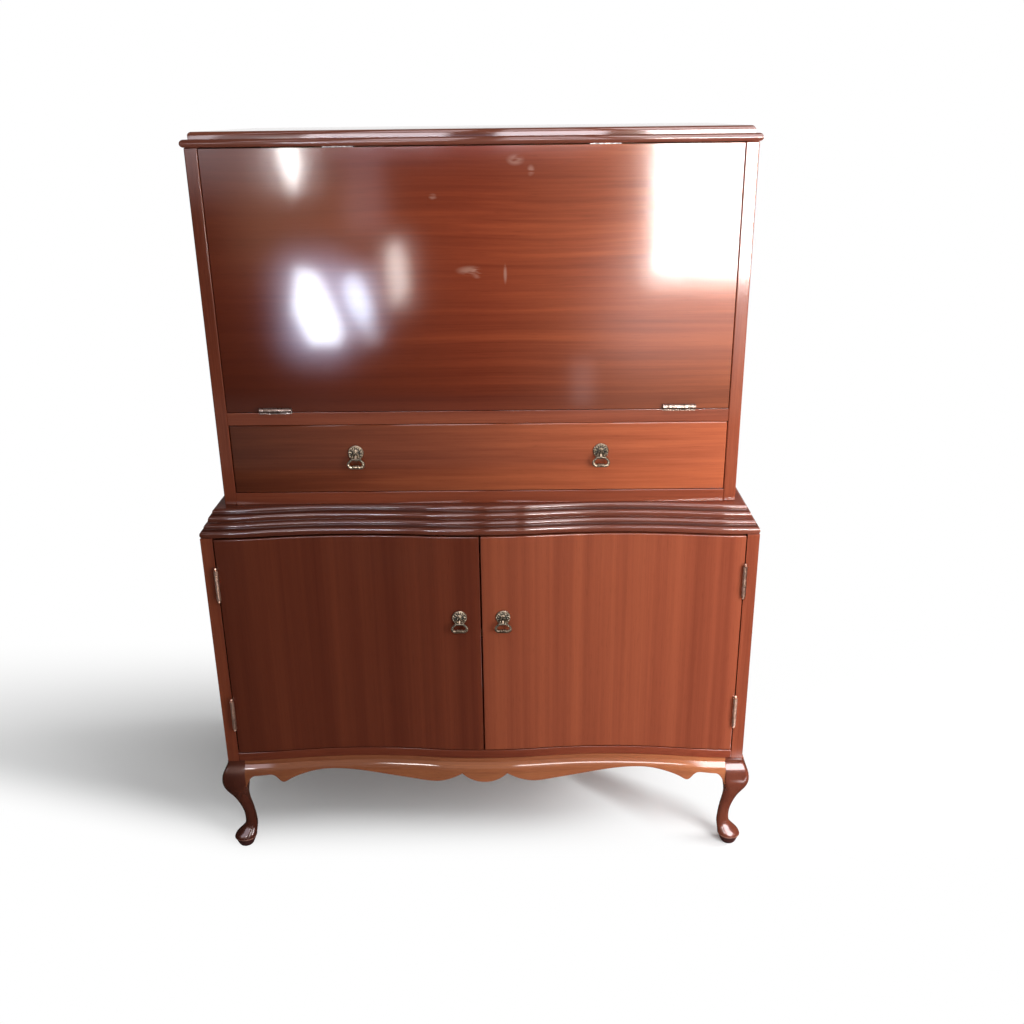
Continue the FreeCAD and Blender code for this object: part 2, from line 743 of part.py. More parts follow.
# ---- flap hinges, for the right hand hinge
def flap_case_leaf():
    """Leaf let into the bar floor, carried up in front of its edge to the outer knuckles."""
    top = BAR_FLOOR - KNUCKLE_JOINT / 2
    foot = top - LEAF_THICKNESS
    half = FLAP_HINGE_LENGTH / 2
    web_front = FLAP_AXIS_Y - LEAF_THICKNESS
    web_back = FLAP_AXIS_Y + LEAF_THICKNESS
    pieces = [box(-half, half, web_front, UPPER_FRONT + LEAF_WIDTH, foot, top)]
    outer = knuckle_spans(FLAP_HINGE_LENGTH)[::2]
    for low, high in outer:
        start = Vector(low, FLAP_AXIS_Y, FLAP_AXIS_Z)
        pieces.append(cylinder(FLAP_KNUCKLE_RADIUS, start, Vector(1, 0, 0), high - low))
        pieces.append(box(low, high, web_front, web_back, foot, FLAP_AXIS_Z - PIN_RADIUS))
    leaf = joined(pieces)
    leaf = leaf.cut(flap_pin_shape(PIN_RADIUS + PIN_FIT))
    leaf.translate(Vector(FLAP_HINGE_X, 0, 0))
    return leaf


def flap_pin_shape(radius):
    half = FLAP_HINGE_LENGTH / 2
    return cylinder(radius, Vector(-half, FLAP_AXIS_Y, FLAP_AXIS_Z), Vector(1, 0, 0), FLAP_HINGE_LENGTH)


def flap_pin():
    pin = flap_pin_shape(PIN_RADIUS)
    pin.translate(Vector(FLAP_HINGE_X, 0, 0))
    return pin


def flap_moving_leaf():
    """Leaf let into the flap's lower edge, with the middle knuckle."""
    foot = FLAP_FOOT + LEAF_CLEARANCE
    half = FLAP_HINGE_LENGTH / 2
    clear = FLAP_AXIS_Y + FLAP_KNUCKLE_RADIUS + FLAP_NOTCH_CLEARANCE
    low, high = knuckle_spans(FLAP_HINGE_LENGTH)[1]
    pieces = [
        box(-half, half, clear, UPPER_FRONT + LEAF_WIDTH, foot, foot + LEAF_THICKNESS),
        box(low, high, FLAP_AXIS_Y, clear, foot, foot + LEAF_THICKNESS),
        cylinder(FLAP_KNUCKLE_RADIUS, Vector(low, FLAP_AXIS_Y, FLAP_AXIS_Z), Vector(1, 0, 0), high - low),
    ]
    leaf = joined(pieces).cut(flap_pin_shape(PIN_RADIUS + PIN_FIT))
    leaf.translate(Vector(FLAP_HINGE_X, 0, 0))
    return leaf


def flap_case_recess():
    half = FLAP_HINGE_LENGTH / 2
    foot = BAR_FLOOR - KNUCKLE_JOINT / 2 - LEAF_THICKNESS
    return box(
        FLAP_HINGE_X - half,
        FLAP_HINGE_X + half,
        FLAP_AXIS_Y,
        UPPER_FRONT + LEAF_WIDTH,
        foot,
        BAR_FLOOR + FLAP_GAP,
    )


def flap_moving_recess():
    """Notch round the knuckles and the seat of the leaf."""
    half = FLAP_HINGE_LENGTH / 2 + LEAF_CLEARANCE
    start = Vector(FLAP_HINGE_X - half, FLAP_AXIS_Y, FLAP_AXIS_Z)
    notch = cylinder(FLAP_KNUCKLE_RADIUS + FLAP_NOTCH_CLEARANCE, start, Vector(1, 0, 0), 2 * half)
    corner = box(
        FLAP_HINGE_X - half,
        FLAP_HINGE_X + half,
        FLAP_AXIS_Y,
        FLAP_AXIS_Y + FLAP_KNUCKLE_RADIUS + FLAP_NOTCH_CLEARANCE,
        FLAP_FOOT,
        FLAP_AXIS_Z,
    )
    seat = box(
        FLAP_HINGE_X - half + LEAF_CLEARANCE,
        FLAP_HINGE_X + half - LEAF_CLEARANCE,
        FLAP_AXIS_Y,
        UPPER_FRONT + LEAF_WIDTH,
        FLAP_FOOT,
        FLAP_FOOT + LEAF_CLEARANCE + LEAF_THICKNESS,
    )
    return notch.fuse(corner).fuse(seat)


def flap_case_screws():
    head = Vector(FLAP_HINGE_X, UPPER_FRONT + LEAF_WIDTH / 2, BAR_FLOOR - KNUCKLE_JOINT / 2)
    return leaf_screws(head, Vector(0, 0, -1), Vector(SCREW_PITCH, 0, 0))


def flap_moving_screws():
    head = Vector(FLAP_HINGE_X, UPPER_FRONT + LEAF_WIDTH / 2, FLAP_FOOT + LEAF_CLEARANCE)
    return leaf_screws(head, Vector(0, 0, 1), Vector(SCREW_PITCH, 0, 0))


# ---- stays: both ends lie on one circle about the flap's axis, so the arm turns at half the flap's rate
def stay_point(angle):
    turn = math.radians(angle)
    return Vector(
        0, FLAP_AXIS_Y + STAY_RADIUS * math.cos(turn), FLAP_AXIS_Z + STAY_RADIUS * math.sin(turn)
    )


STAY_PIVOT = stay_point(STAY_FLAP_ANGLE)
STAY_STUD = stay_point(STAY_CASE_ANGLE)
STAY_OUTSIDE = UPPER_INNER - STAY_WALL_GAP
STAY_INSIDE = STAY_OUTSIDE - STAY_THICKNESS


def stay_reach(swing):
    """Distance from the arm's pivot to the case stud when the flap has swung by an angle."""
    return 2 * STAY_RADIUS * math.sin(math.radians((STAY_FLAP_ANGLE - STAY_CASE_ANGLE + swing) / 2))


def rounded_bar(x0, x1, start, end, half_width):
    """A flat bar with round ends, measured along Y from the pivot."""
    bar = box(x0, x1, start, end, -half_width, half_width)
    for at in (start, end):
        bar = bar.fuse(cylinder(half_width, Vector(x0, at, 0), Vector(1, 0, 0), x1 - x0))
    return bar


def stay_arm():
    """Right hand slotted arm, laid along the line from its pivot to the case stud."""
    closed = stay_reach(0)
    opened = stay_reach(FLAP_SWING)
    slot_half = STAY_STUD_RADIUS + STAY_SLOT_PLAY
    tail = opened + STAY_SLOT_PLAY
    arm = rounded_bar(STAY_INSIDE, STAY_OUTSIDE, 0, tail, STAY_WIDTH / 2)
    slot = rounded_bar(STAY_INSIDE, STAY_OUTSIDE, closed - STAY_SLOT_PLAY, tail, slot_half)
    hole = cylinder(
        STAY_PIN_RADIUS + PIN_FIT, Vector(STAY_INSIDE, 0, 0), Vector(1, 0, 0), STAY_THICKNESS
    )
    arm = arm.cut(slot).cut(hole).removeSplitter()
    run = STAY_STUD - STAY_PIVOT
    arm.rotate(Vector(0, 0, 0), Vector(1, 0, 0), math.degrees(math.atan2(run.z, run.y)))
    arm.translate(STAY_PIVOT)
    return arm


def headed_pin(radius, x0, x1, head_radius, head_x0, head_x1, at):
    pin = cylinder(radius, Vector(x0, at.y, at.z), Vector(1, 0, 0), x1 - x0)
    return pin.fuse(cylinder(head_radius, Vector(head_x0, at.y, at.z), Vector(1, 0, 0), head_x1 - head_x0))


def stay_stud():
    """Right hand stud: a flange on the case side, a shank in the arm's slot and a head inside it."""
    head_x1 = STAY_INSIDE - STAY_SIDE_PLAY
    head_x0 = head_x1 - STAY_HEAD_THICKNESS
    stud = headed_pin(STAY_STUD_RADIUS, head_x0, UPPER_INNER, STAY_HEAD_RADIUS, head_x0, head_x1, STAY_STUD)
    flange_x0 = STAY_OUTSIDE + STAY_SIDE_PLAY
    flange = cylinder(
        STAY_FLANGE_RADIUS,
        Vector(flange_x0, STAY_STUD.y, STAY_STUD.z),
        Vector(1, 0, 0),
        UPPER_INNER - flange_x0,
    )
    return stud.fuse(flange)


def stay_bracket():
    """Right hand flap bracket: a plate on the flap, an ear beside the arm and a headed pin."""
    ear_x1 = STAY_INSIDE - STAY_SIDE_PLAY
    ear_x0 = ear_x1 - BRACKET_EAR
    z0 = STAY_PIVOT.z - BRACKET_HEIGHT / 2
    z1 = STAY_PIVOT.z + BRACKET_HEIGHT / 2
    plate = box(ear_x1 - BRACKET_WIDTH, ear_x1, FLAP_BACK, FLAP_BACK + BRACKET_PLATE, z0, z1)
    ear_half = STAY_WIDTH / 2
    ear = box(ear_x0, ear_x1, FLAP_BACK, STAY_PIVOT.y, STAY_PIVOT.z - ear_half, STAY_PIVOT.z + ear_half)
    tip = cylinder(ear_half, Vector(ear_x0, STAY_PIVOT.y, STAY_PIVOT.z), Vector(1, 0, 0), BRACKET_EAR)
    head_x0 = STAY_OUTSIDE + STAY_SIDE_PLAY
    head_x1 = head_x0 + STAY_HEAD_THICKNESS
    pin = headed_pin(STAY_PIN_RADIUS, ear_x0, head_x1, STAY_HEAD_RADIUS, head_x0, head_x1, STAY_PIVOT)
    return joined([plate, ear, tip, pin])


# ---- catches
def flap_catch():
    """Right hand magnetic catch under the top board, just behind the flap's strike."""
    y0 = FLAP_BACK + STRIKE_THICKNESS + CATCH_GAP
    half = CATCH_LENGTH / 2
    return box(
        FLAP_CATCH_X - half,
        FLAP_CATCH_X + half,
        y0,
        y0 + CATCH_DEPTH,
        BAR_CEILING - CATCH_HEIGHT,
        BAR_CEILING,
    )


def flap_strike():
    half = STRIKE_LENGTH / 2
    z1 = FLAP_HEAD - FLAP_HEAD_GAP
    return box(
        FLAP_CATCH_X - half,
        FLAP_CATCH_X + half,
        FLAP_BACK,
        FLAP_BACK + STRIKE_THICKNESS,
        z1 - STRIKE_HEIGHT,
        z1,
    )


def door_catch_plane():
    """Where the rearmost point of the door's back lies over the length of a strike."""
    return FRONT + DOOR_THICKNESS + front_setback(DOOR_CATCH_X + STRIKE_LENGTH / 2)


def door_catch():
    y0 = door_catch_plane() + STRIKE_THICKNESS + CATCH_GAP
    half = CATCH_LENGTH / 2
    return box(DOOR_CATCH_X - half, DOOR_CATCH_X + half, y0, y0 + CATCH_DEPTH, WAIST - CATCH_HEIGHT, WAIST)


def door_strike(door):
    """Strike plate, packed out to lie flat on the door's curved back."""
    half = STRIKE_LENGTH / 2
    z1 = DOOR_HEAD - STRIKE_THICKNESS
    plane = door_catch_plane()
    plate = box(
        DOOR_CATCH_X - half,
        DOOR_CATCH_X + half,
        plane - STRIKE_PACKING,
        plane + STRIKE_THICKNESS,
        z1 - STRIKE_HEIGHT,
        z1,
    )
    return max(plate.cut(door).Solids, key=lambda solid: solid.CenterOfMass.y)


# ---- flap, doors and drawer
def flap_panel(screws):
    """Fall front, with notches for its hinges."""
    panel = box(-FLAP_HALF, FLAP_HALF, UPPER_FRONT, FLAP_BACK, FLAP_FOOT, FLAP_HEAD)
    return panel.cut(Part.makeCompound(both_sides(flap_moving_recess()) + screws))


def door_right(screws):
    slab = serpentine_board(0, DOOR_THICKNESS, DOOR_EDGE, DOOR_FOOT, DOOR_HEAD, parallel_back=True)
    half = box(DOOR_MEETING_GAP / 2, HALF, FRONT - CUT_OVERRUN, BACK, DOOR_FOOT, DOOR_HEAD)
    recesses = [door_leaf_recess(-1, height) for height in DOOR_HINGE_HEIGHTS]
    return slab.common(half).cut(Part.makeCompound(recesses + screws))


DRAWER_BOX_FRONT = UPPER_FRONT + DRAWER_FRONT_THICKNESS
DRAWER_BOX_BACK = BACK_PANEL_FACE - DRAWER_REAR_GAP
DRAWER_OUTSIDE = UPPER_INNER - DRAWER_SIDE_MARGIN
DRAWER_INSIDE = DRAWER_OUTSIDE - DRAWER_SIDE_THICKNESS
DRAWER_FOOT = DRAWER_FLOOR + DRAWER_RUN_GAP
DRAWER_HEAD = FLOOR_UNDER - DRAWER_KICKER_HEIGHT - DRAWER_RUN_GAP
DRAWER_BOTTOM = DRAWER_FLOOR + DRAWER_BOTTOM_RISE


def drawer_front():
    half = UPPER_INNER - FLAP_GAP
    z0 = DRAWER_FLOOR + DRAWER_FRONT_GAP
    z1 = FLOOR_UNDER - DRAWER_FRONT_GAP
    return box(-half, half, UPPER_FRONT, DRAWER_BOX_FRONT, z0, z1)


def drawer_side():
    return box(DRAWER_INSIDE, DRAWER_OUTSIDE, DRAWER_BOX_FRONT, DRAWER_BOX_BACK, DRAWER_FOOT, DRAWER_HEAD)


def drawer_bottom():
    return box(
        -DRAWER_INSIDE,
        DRAWER_INSIDE,
        DRAWER_BOX_FRONT,
        DRAWER_BOX_BACK,
        DRAWER_BOTTOM,
        DRAWER_BOTTOM + DRAWER_BOTTOM_THICKNESS,
    )


def drawer_back():
    return box(
        -DRAWER_INSIDE,
        DRAWER_INSIDE,
        DRAWER_BOX_BACK - DRAWER_SIDE_THICKNESS,
        DRAWER_BOX_BACK,
        DRAWER_BOTTOM + DRAWER_BOTTOM_THICKNESS,
        DRAWER_HEAD,
    )


def drawer_guide():
    """Strip beside the right hand drawer side."""
    return box(
        DRAWER_OUTSIDE + DRAWER_RUN_GAP,
        UPPER_INNER,
        DRAWER_BOX_FRONT + BEARER_INSET,
        DRAWER_BOX_BACK,
        DRAWER_FLOOR,
        DRAWER_FLOOR + DRAWER_GUIDE_HEIGHT,
    )


def drawer_kicker():
    """Strip over the right hand drawer side, which keeps the open drawer from tipping."""
    return box(
        UPPER_INNER - DRAWER_KICKER_WIDTH,
        UPPER_INNER,
        DRAWER_BOX_FRONT + BEARER_INSET,
        DRAWER_BOX_BACK,
        FLOOR_UNDER - DRAWER_KICKER_HEIGHT,
        FLOOR_UNDER,
    )


def drawer_stop():
    y0 = DRAWER_BOX_FRONT + DRAWER_RUN_GAP
    half = STOP_LENGTH / 2
    return box(STOP_X - half, STOP_X + half, y0, y0 + STOP_DEPTH, DRAWER_FLOOR, DRAWER_FLOOR + STOP_HEIGHT)


# ---- ring pulls
def pull_plate(x, face_y, height, board):
    """Round plate with a raised mask and a bored muzzle, seated on a board's face."""
    away = Vector(0, -1, 0)
    seat = Vector(x, face_y + PLATE_SEAT, height)
    face = Vector(x, face_y, height)
    disc = cylinder(PLATE_RADIUS, seat, away, PLATE_SEAT + PLATE_THICKNESS)
    mask = Part.makeCone(MASK_RADIUS, MASK_TIP_RADIUS, PLATE_THICKNESS + MASK_DEPTH, face, away)
    pivot = Vector(x, face_y - RING_STAND_OFF, height - RING_DROP)
    muzzle = cylinder(MUZZLE_RADIUS, Vector(x, face_y, pivot.z), away, MUZZLE_DEPTH)
    bore_start = pivot - Vector(PLATE_RADIUS, 0, 0)
    bore = cylinder(RING_WIRE_RADIUS + RING_BORE_CLEARANCE, bore_start, Vector(1, 0, 0), 2 * PLATE_RADIUS)
    sweep = ring_sweep_clearance(pivot)
    return joined([disc, mask, muzzle]).cut(bore).cut(sweep).cut(board)


def ring_sweep_clearance(pivot):
    """Room beside the muzzle for the ring's shoulders as it lifts."""
    radius = RING_WIRE_RADIUS + 2 * RING_TOP_FILLET * (1 - math.cos(math.pi / 4)) + RING_WIRE_RADIUS
    cheek = MUZZLE_RADIUS + RING_BORE_CLEARANCE
    length = PLATE_RADIUS
    right = cylinder(radius, pivot + Vector(cheek, 0, 0), Vector(1, 0, 0), length)
    left = cylinder(radius, pivot - Vector(cheek + length, 0, 0), Vector(1, 0, 0), length)
    return right.fuse(left)


def filleted_loop(corners, radii):
    """A closed loop of straight runs with a rounded corner at each point."""
    edges = []
    count = len(corners)
    for index in range(count):
        here = corners[index]
        before = corners[index - 1]
        after = corners[(index + 1) % count]
        to_before = before - here
        to_after = after - here
        to_before.normalize()
        to_after.normalize()
        half_turn = to_before.getAngle(to_after) / 2
        reach = radii[index] / math.tan(half_turn)
        start = here + to_before * reach
        end = here + to_after * reach
        inward = to_before + to_after
        inward.normalize()
        centre = here + inward * (radii[index] / math.sin(half_turn))
        edges.append((start, arc_about(centre, radii[index], start, end), end))
    loop = []
    for index, (start, arc, end) in enumerate(edges):
        loop.append(arc)
        loop.append(line(end, edges[(index + 1) % count][0]))
    return loop


def pull_ring(x, face_y, height):
    """Loop of round wire, hanging from the bar that turns in the muzzle."""
    pivot = Vector(x, face_y - RING_STAND_OFF, height - RING_DROP)
    corners = [
        pivot + Vector(-RING_TOP_HALF, 0, 0),
        pivot + Vector(RING_TOP_HALF, 0, 0),
        pivot + Vector(RING_FOOT_HALF, 0, -RING_HEIGHT),
        pivot + Vector(-RING_FOOT_HALF, 0, -RING_HEIGHT),
    ]
    radii = [RING_TOP_FILLET, RING_TOP_FILLET, RING_FOOT_FILLET, RING_FOOT_FILLET]
    pieces = []
    for edge in filleted_loop(corners, radii):
        start = edge.Vertexes[0].Point
        along = edge.tangentAt(edge.FirstParameter)
        section = Part.Wire(Part.makeCircle(RING_WIRE_RADIUS, start, along))
        pieces.append(Part.Wire([edge]).makePipeShell([section], True, False))
    return joined(pieces)


# ---- the cabinet
def build():
    parts = {}
    right_leg = front_leg()
    front_legs = both_sides(right_leg)
    back_legs = [mirrored_back(leg) for leg in front_legs]
    legs = front_legs + back_legs
    parts["leg_front_right"], parts["leg_front_left"] = front_legs
    parts["leg_back_right"], parts["leg_back_left"] = back_legs
    parts["apron_front"] = apron_front(legs)
    parts["apron_right"] = apron_right(legs)
    parts["apron_left"] = mirrored(parts["apron_right"])
    parts["apron_back"] = apron_back(legs)
    front_blocks = both_sides(corner_block())
    back_blocks = [mirrored_back(block) for block in front_blocks]
    parts["corner_blocks"] = Part.makeCompound(front_blocks + back_blocks)

    door_case_screws = []
    door_case_recesses = []
    door_screws = []
    for height in DOOR_HINGE_HEIGHTS:
        door_case_screws += door_leaf_screws(1, height)
        door_case_recesses.append(door_leaf_recess(1, height))
        door_screws += door_leaf_screws(-1, height)
    side = lower_side().cut(Part.makeCompound(door_case_recesses + door_case_screws))
    parts["lower_side_right"] = side
    parts["lower_side_left"] = mirrored(side)
    parts["lower_bottom_board"] = serpentine_board(
        0, LOWER_DEPTH - BACK_THICKNESS, INNER_HALF, BASE_HEIGHT, CUPBOARD_FLOOR
    )
    parts["lower_back_panel"] = box(-INNER_HALF, INNER_HALF, BACK_PANEL_FACE, BACK, BASE_HEIGHT, WAIST)
    parts["cupboard_shelf"] = cross_board(
        INNER_HALF, CUPBOARD_SHELF_FRONT, CUPBOARD_SHELF_HEIGHT, SHELF_THICKNESS
    )
    parts["waist_moulding_lower"] = waist_tier(0, WAIST)
    parts["waist_moulding_upper"] = waist_tier(TIER_STEP, WAIST + TIER_HEIGHT)

    flap_screws_case = []
    for one in flap_case_screws():
        flap_screws_case += both_sides(one)
    parts["upper_side_right"] = upper_side()
    parts["upper_side_left"] = mirrored(upper_side())
    parts["drawer_board"] = cross_board(UPPER_INNER, UPPER_FRONT, UPPER_BASE, DRAWER_BOARD)
    floor = cross_board(UPPER_INNER, UPPER_FRONT, FLOOR_UNDER, FLOOR_BOARD)
    parts["bar_floor"] = floor.cut(Part.makeCompound(both_sides(flap_case_recess()) + flap_screws_case))
    parts["upper_back_panel"] = box(-UPPER_INNER, UPPER_INNER, BACK_PANEL_FACE, BACK, UPPER_BASE, BAR_CEILING)
    parts["bar_shelf"] = cross_board(UPPER_INNER, BAR_SHELF_FRONT, BAR_SHELF_HEIGHT, SHELF_THICKNESS)
    parts["top_board"] = top_board()
    bearers = both_sides(bearer(UPPER_INNER, BAR_SHELF_FRONT, BAR_SHELF_HEIGHT))
    bearers += both_sides(bearer(INNER_HALF, CUPBOARD_SHELF_FRONT, CUPBOARD_SHELF_HEIGHT))
    parts["shelf_bearers"] = Part.makeCompound(bearers)
    parts["drawer_runners"] = Part.makeCompound(both_sides(drawer_guide()) + both_sides(drawer_kicker()))
    parts["drawer_stops"] = Part.makeCompound(both_sides(drawer_stop()))

    outer_knuckles = knuckle_spans(DOOR_HINGE_LENGTH)[::2]
    middle_knuckle = knuckle_spans(DOOR_HINGE_LENGTH)[1:2]
    case_leaves = [door_leaf(1, outer_knuckles, height) for height in DOOR_HINGE_HEIGHTS]
    moving_leaves = [door_leaf(-1, middle_knuckle, height) for height in DOOR_HINGE_HEIGHTS]
    case_screws = Part.makeCompound(door_case_screws)
    moving_screws = Part.makeCompound(door_screws)
    drilled_case = [leaf.cut(case_screws) for leaf in case_leaves]
    drilled_moving = [leaf.cut(moving_screws) for leaf in moving_leaves]
    left_case_leaves = [mirrored(leaf) for leaf in drilled_case]
    parts["door_hinge_case_leaves"] = Part.makeCompound(drilled_case + left_case_leaves)
    parts["right_door_hinge_leaves"] = Part.makeCompound(drilled_moving)
    parts["left_door_hinge_leaves"] = Part.makeCompound([mirrored(leaf) for leaf in drilled_moving])
    parts["right_door_screws"] = moving_screws
    parts["left_door_screws"] = mirrored(moving_screws)

    flap_leaf_case = flap_case_leaf().cut(Part.makeCompound(flap_screws_case))
    parts["flap_hinge_case_leaves"] = Part.makeCompound(both_sides(flap_leaf_case))
    flap_screws_moving = []
    for one in flap_moving_screws():
        flap_screws_moving += both_sides(one)
    flap_leaf_moving = flap_moving_leaf().cut(Part.makeCompound(flap_screws_moving))
    parts["flap_hinge_leaves"] = Part.makeCompound(both_sides(flap_leaf_moving))
    parts["flap_screws"] = Part.makeCompound(flap_screws_moving)
    case_side_screws = door_case_screws + [mirrored(one) for one in door_case_screws]
    parts["case_hinge_screws"] = Part.makeCompound(case_side_screws + flap_screws_case)
    pins = both_sides(flap_pin())
    for height in DOOR_HINGE_HEIGHTS:
        pins += both_sides(door_pin(height))
    parts["hinge_pins"] = Part.makeCompound(pins)

    parts["flap_panel"] = flap_panel(flap_screws_moving)
    parts["stay_brackets"] = Part.makeCompound(both_sides(stay_bracket()))
    parts["stay_studs"] = Part.makeCompound(both_sides(stay_stud()))
    parts["stay_arm_right"] = stay_arm()
    parts["stay_arm_left"] = mirrored(stay_arm())
    parts["flap_strikes"] = Part.makeCompound(both_sides(flap_strike()))
    parts["magnetic_catches"] = Part.makeCompound(both_sides(flap_catch()) + both_sides(door_catch()))

    door = door_right(door_screws)
    parts["door_right"] = door
    parts["door_left"] = mirrored(door)
    strike = door_strike(door)
    parts["right_door_strike"] = strike
    parts["left_door_strike"] = mirrored(strike)
    door_face = FRONT + front_setback(DOOR_PULL_X)
    door_plate = pull_plate(DOOR_PULL_X, door_face, DOOR_PULL_HEIGHT, door)
    parts["right_door_pull_plate"] = door_plate
    parts["left_door_pull_plate"] = mirrored(door_plate)
    parts["right_door_ring"] = pull_ring(DOOR_PULL_X, door_face, DOOR_PULL_HEIGHT)
    parts["left_door_ring"] = mirrored(parts["right_door_ring"])

    front = drawer_front()
    parts["drawer_front"] = front
    parts["drawer_side_right"] = drawer_side()
    parts["drawer_side_left"] = mirrored(drawer_side())
    parts["drawer_back"] = drawer_back()
    parts["drawer_bottom"] = drawer_bottom()
    plate = pull_plate(DRAWER_PULL_X, UPPER_FRONT, DRAWER_PULL_HEIGHT, front)
    parts["drawer_pull_plates"] = Part.makeCompound(both_sides(plate))
    parts["drawer_ring_right"] = pull_ring(DRAWER_PULL_X, UPPER_FRONT, DRAWER_PULL_HEIGHT)
    parts["drawer_ring_left"] = mirrored(parts["drawer_ring_right"])
    return parts


os.makedirs("parts", exist_ok=True)
for name, shape in build().items():
    shape.exportStep("parts/" + name + ".step")
    solids = len(shape.Solids)
    state = "ok" if shape.isValid() and solids else "BAD"
    print(name, "solids", solids, "volume_cm3", round(shape.Volume / 1000, 2), state)
print("height", TOTAL_HEIGHT, "stay reach", round(stay_reach(0), 2), "to", round(stay_reach(FLAP_SWING), 2))
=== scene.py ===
"""Looks of a mahogany bar cabinet: polished veneers, turned and moulded edges, brass pulls and hinges.

Metres, +Z up, the front towards -Y. A setback is a distance behind the front plane of the piece's case.
"""

import json
import math

import bmesh
import bpy
import numpy as np
from mathutils import Matrix, Vector

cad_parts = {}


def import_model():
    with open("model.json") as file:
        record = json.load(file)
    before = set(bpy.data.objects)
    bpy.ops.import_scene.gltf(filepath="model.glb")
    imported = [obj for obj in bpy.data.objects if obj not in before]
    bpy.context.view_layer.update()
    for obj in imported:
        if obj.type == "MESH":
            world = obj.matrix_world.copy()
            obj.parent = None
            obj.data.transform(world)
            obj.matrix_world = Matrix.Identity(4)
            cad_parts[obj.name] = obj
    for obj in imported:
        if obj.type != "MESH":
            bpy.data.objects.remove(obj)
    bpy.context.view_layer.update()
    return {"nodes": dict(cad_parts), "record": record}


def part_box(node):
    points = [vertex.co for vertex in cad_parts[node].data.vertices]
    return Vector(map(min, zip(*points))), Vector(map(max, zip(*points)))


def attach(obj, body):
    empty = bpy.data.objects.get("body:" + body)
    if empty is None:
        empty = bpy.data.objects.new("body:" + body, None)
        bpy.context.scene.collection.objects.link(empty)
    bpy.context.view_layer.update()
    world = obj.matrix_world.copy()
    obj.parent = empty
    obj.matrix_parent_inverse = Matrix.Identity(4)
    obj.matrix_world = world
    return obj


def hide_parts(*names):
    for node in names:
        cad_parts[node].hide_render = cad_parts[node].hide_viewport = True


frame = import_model()

MM = 0.001
NODES = frame["nodes"]
RECORD = frame["record"]
BODY_OF = {node: body for body, members in RECORD["behaviour"]["bodies"].items() for node in members}
SLOT_OF = {part["node"]: part["material_slot"] for part in RECORD["subparts"]}

# ---- planes and levels of the cabinet, read from its frame
SIDE_LOW, SIDE_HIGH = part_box("lower_side_right")
HALF = SIDE_HIGH.x
FRONT = SIDE_LOW.y
BACK = SIDE_HIGH.y
BASE = SIDE_LOW.z
UPPER_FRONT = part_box("upper_side_right")[0].y
FLAP_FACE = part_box("flap_panel")[0].y
CASE_END = 0.46

# ---- serpentine front
VALLEY_X = 215 * MM
VALLEY_DEPTH = 16 * MM
CENTRE_DEPTH = 4 * MM
VALLEY_SHARE = 0.557

EASE = 0.9 * MM
# Boards that are rounded over more than the rest.
SOFT_EDGES = {
    "flap_panel": 1.9 * MM,
    "drawer_front": 1.9 * MM,
    "upper_side_left": 1.5 * MM,
    "upper_side_right": 1.5 * MM,
    "lower_side_left": 1.5 * MM,
    "lower_side_right": 1.5 * MM,
}
ARC_STEPS = 4
WELD = 0.01 * MM
DOOR_THICKNESS = 20 * MM
DOOR_EASE = 1.4 * MM
BOARD_EASE = 1.2 * MM
TIER_STEP = 13 * MM
# CAD nodes that a piece of this script stands for.
DRESSED = set()


# ---- meshes
def grid_faces(rows, columns, wrap_rows=False):
    """Quads between neighbours of a grid of points that is stored row by row. Each row is a closed loop."""
    row = np.arange(rows if wrap_rows else rows - 1)
    r, c = np.meshgrid(row, np.arange(columns), indexing="ij")
    r_next = (r + 1) % rows
    c_next = (c + 1) % columns
    corners = [r * columns + c, r * columns + c_next, r_next * columns + c_next, r_next * columns + c]
    return np.stack(corners, -1).reshape(-1, 4).tolist()


def add_object(name, mesh, material, sharp_angle=32):
    """A finished mesh as an object at the origin, smooth but for edges sharper than an angle."""
    mesh.polygons.foreach_set("use_smooth", np.ones(len(mesh.polygons), bool))
    mesh.set_sharp_from_angle(angle=math.radians(sharp_angle))
    mesh.materials.append(material)
    obj = bpy.data.objects.new(name, mesh)
    bpy.context.scene.collection.objects.link(obj)
    return obj


def closed_mesh(name, points, faces, attributes=None):
    """A mesh from points and faces, welded, with every face turned outwards."""
    mesh = bpy.data.meshes.new(name)
    mesh.from_pydata(points.reshape(-1, 3).tolist(), [], faces)
    for key, values in (attributes or {}).items():
        layer = mesh.attributes.new(key, "FLOAT", "POINT")
        layer.data.foreach_set("value", values.astype(np.float32).ravel())
    work = bmesh.new()
    work.from_mesh(mesh)
    bmesh.ops.remove_doubles(work, verts=work.verts, dist=WELD)
    bmesh.ops.recalc_face_normals(work, faces=work.faces)
    work.to_mesh(mesh)
    work.free()
    return mesh


def loft(name, points, material, attributes=None, sharp_angle=32):
    """A shell through rows of points. Each row is a closed loop, and the first and last rows are capped."""
    rows, columns = points.shape[:2]
    faces = grid_faces(rows, columns)
    first = list(range(columns))
    last = [(rows - 1) * columns + index for index in range(columns)]
    mesh = closed_mesh(name, points, faces + [first, last], attributes)
    return add_object(name, mesh, material, sharp_angle)


def settle(obj, name):
    """The piece stands for a CAD node: it rides on the node's body, and the node is hidden and counted as
    dressed.
    """
    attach(obj, BODY_OF[name])
    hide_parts(name)
    DRESSED.add(name)


def arc(centre, radius, start, end, steps):
    """Points on a circle from one angle to another, in degrees, as rows of two numbers."""
    turn = np.radians(np.linspace(start, end, steps + 1))
    return np.stack([centre[0] + radius * np.cos(turn), centre[1] + radius * np.sin(turn)], -1)


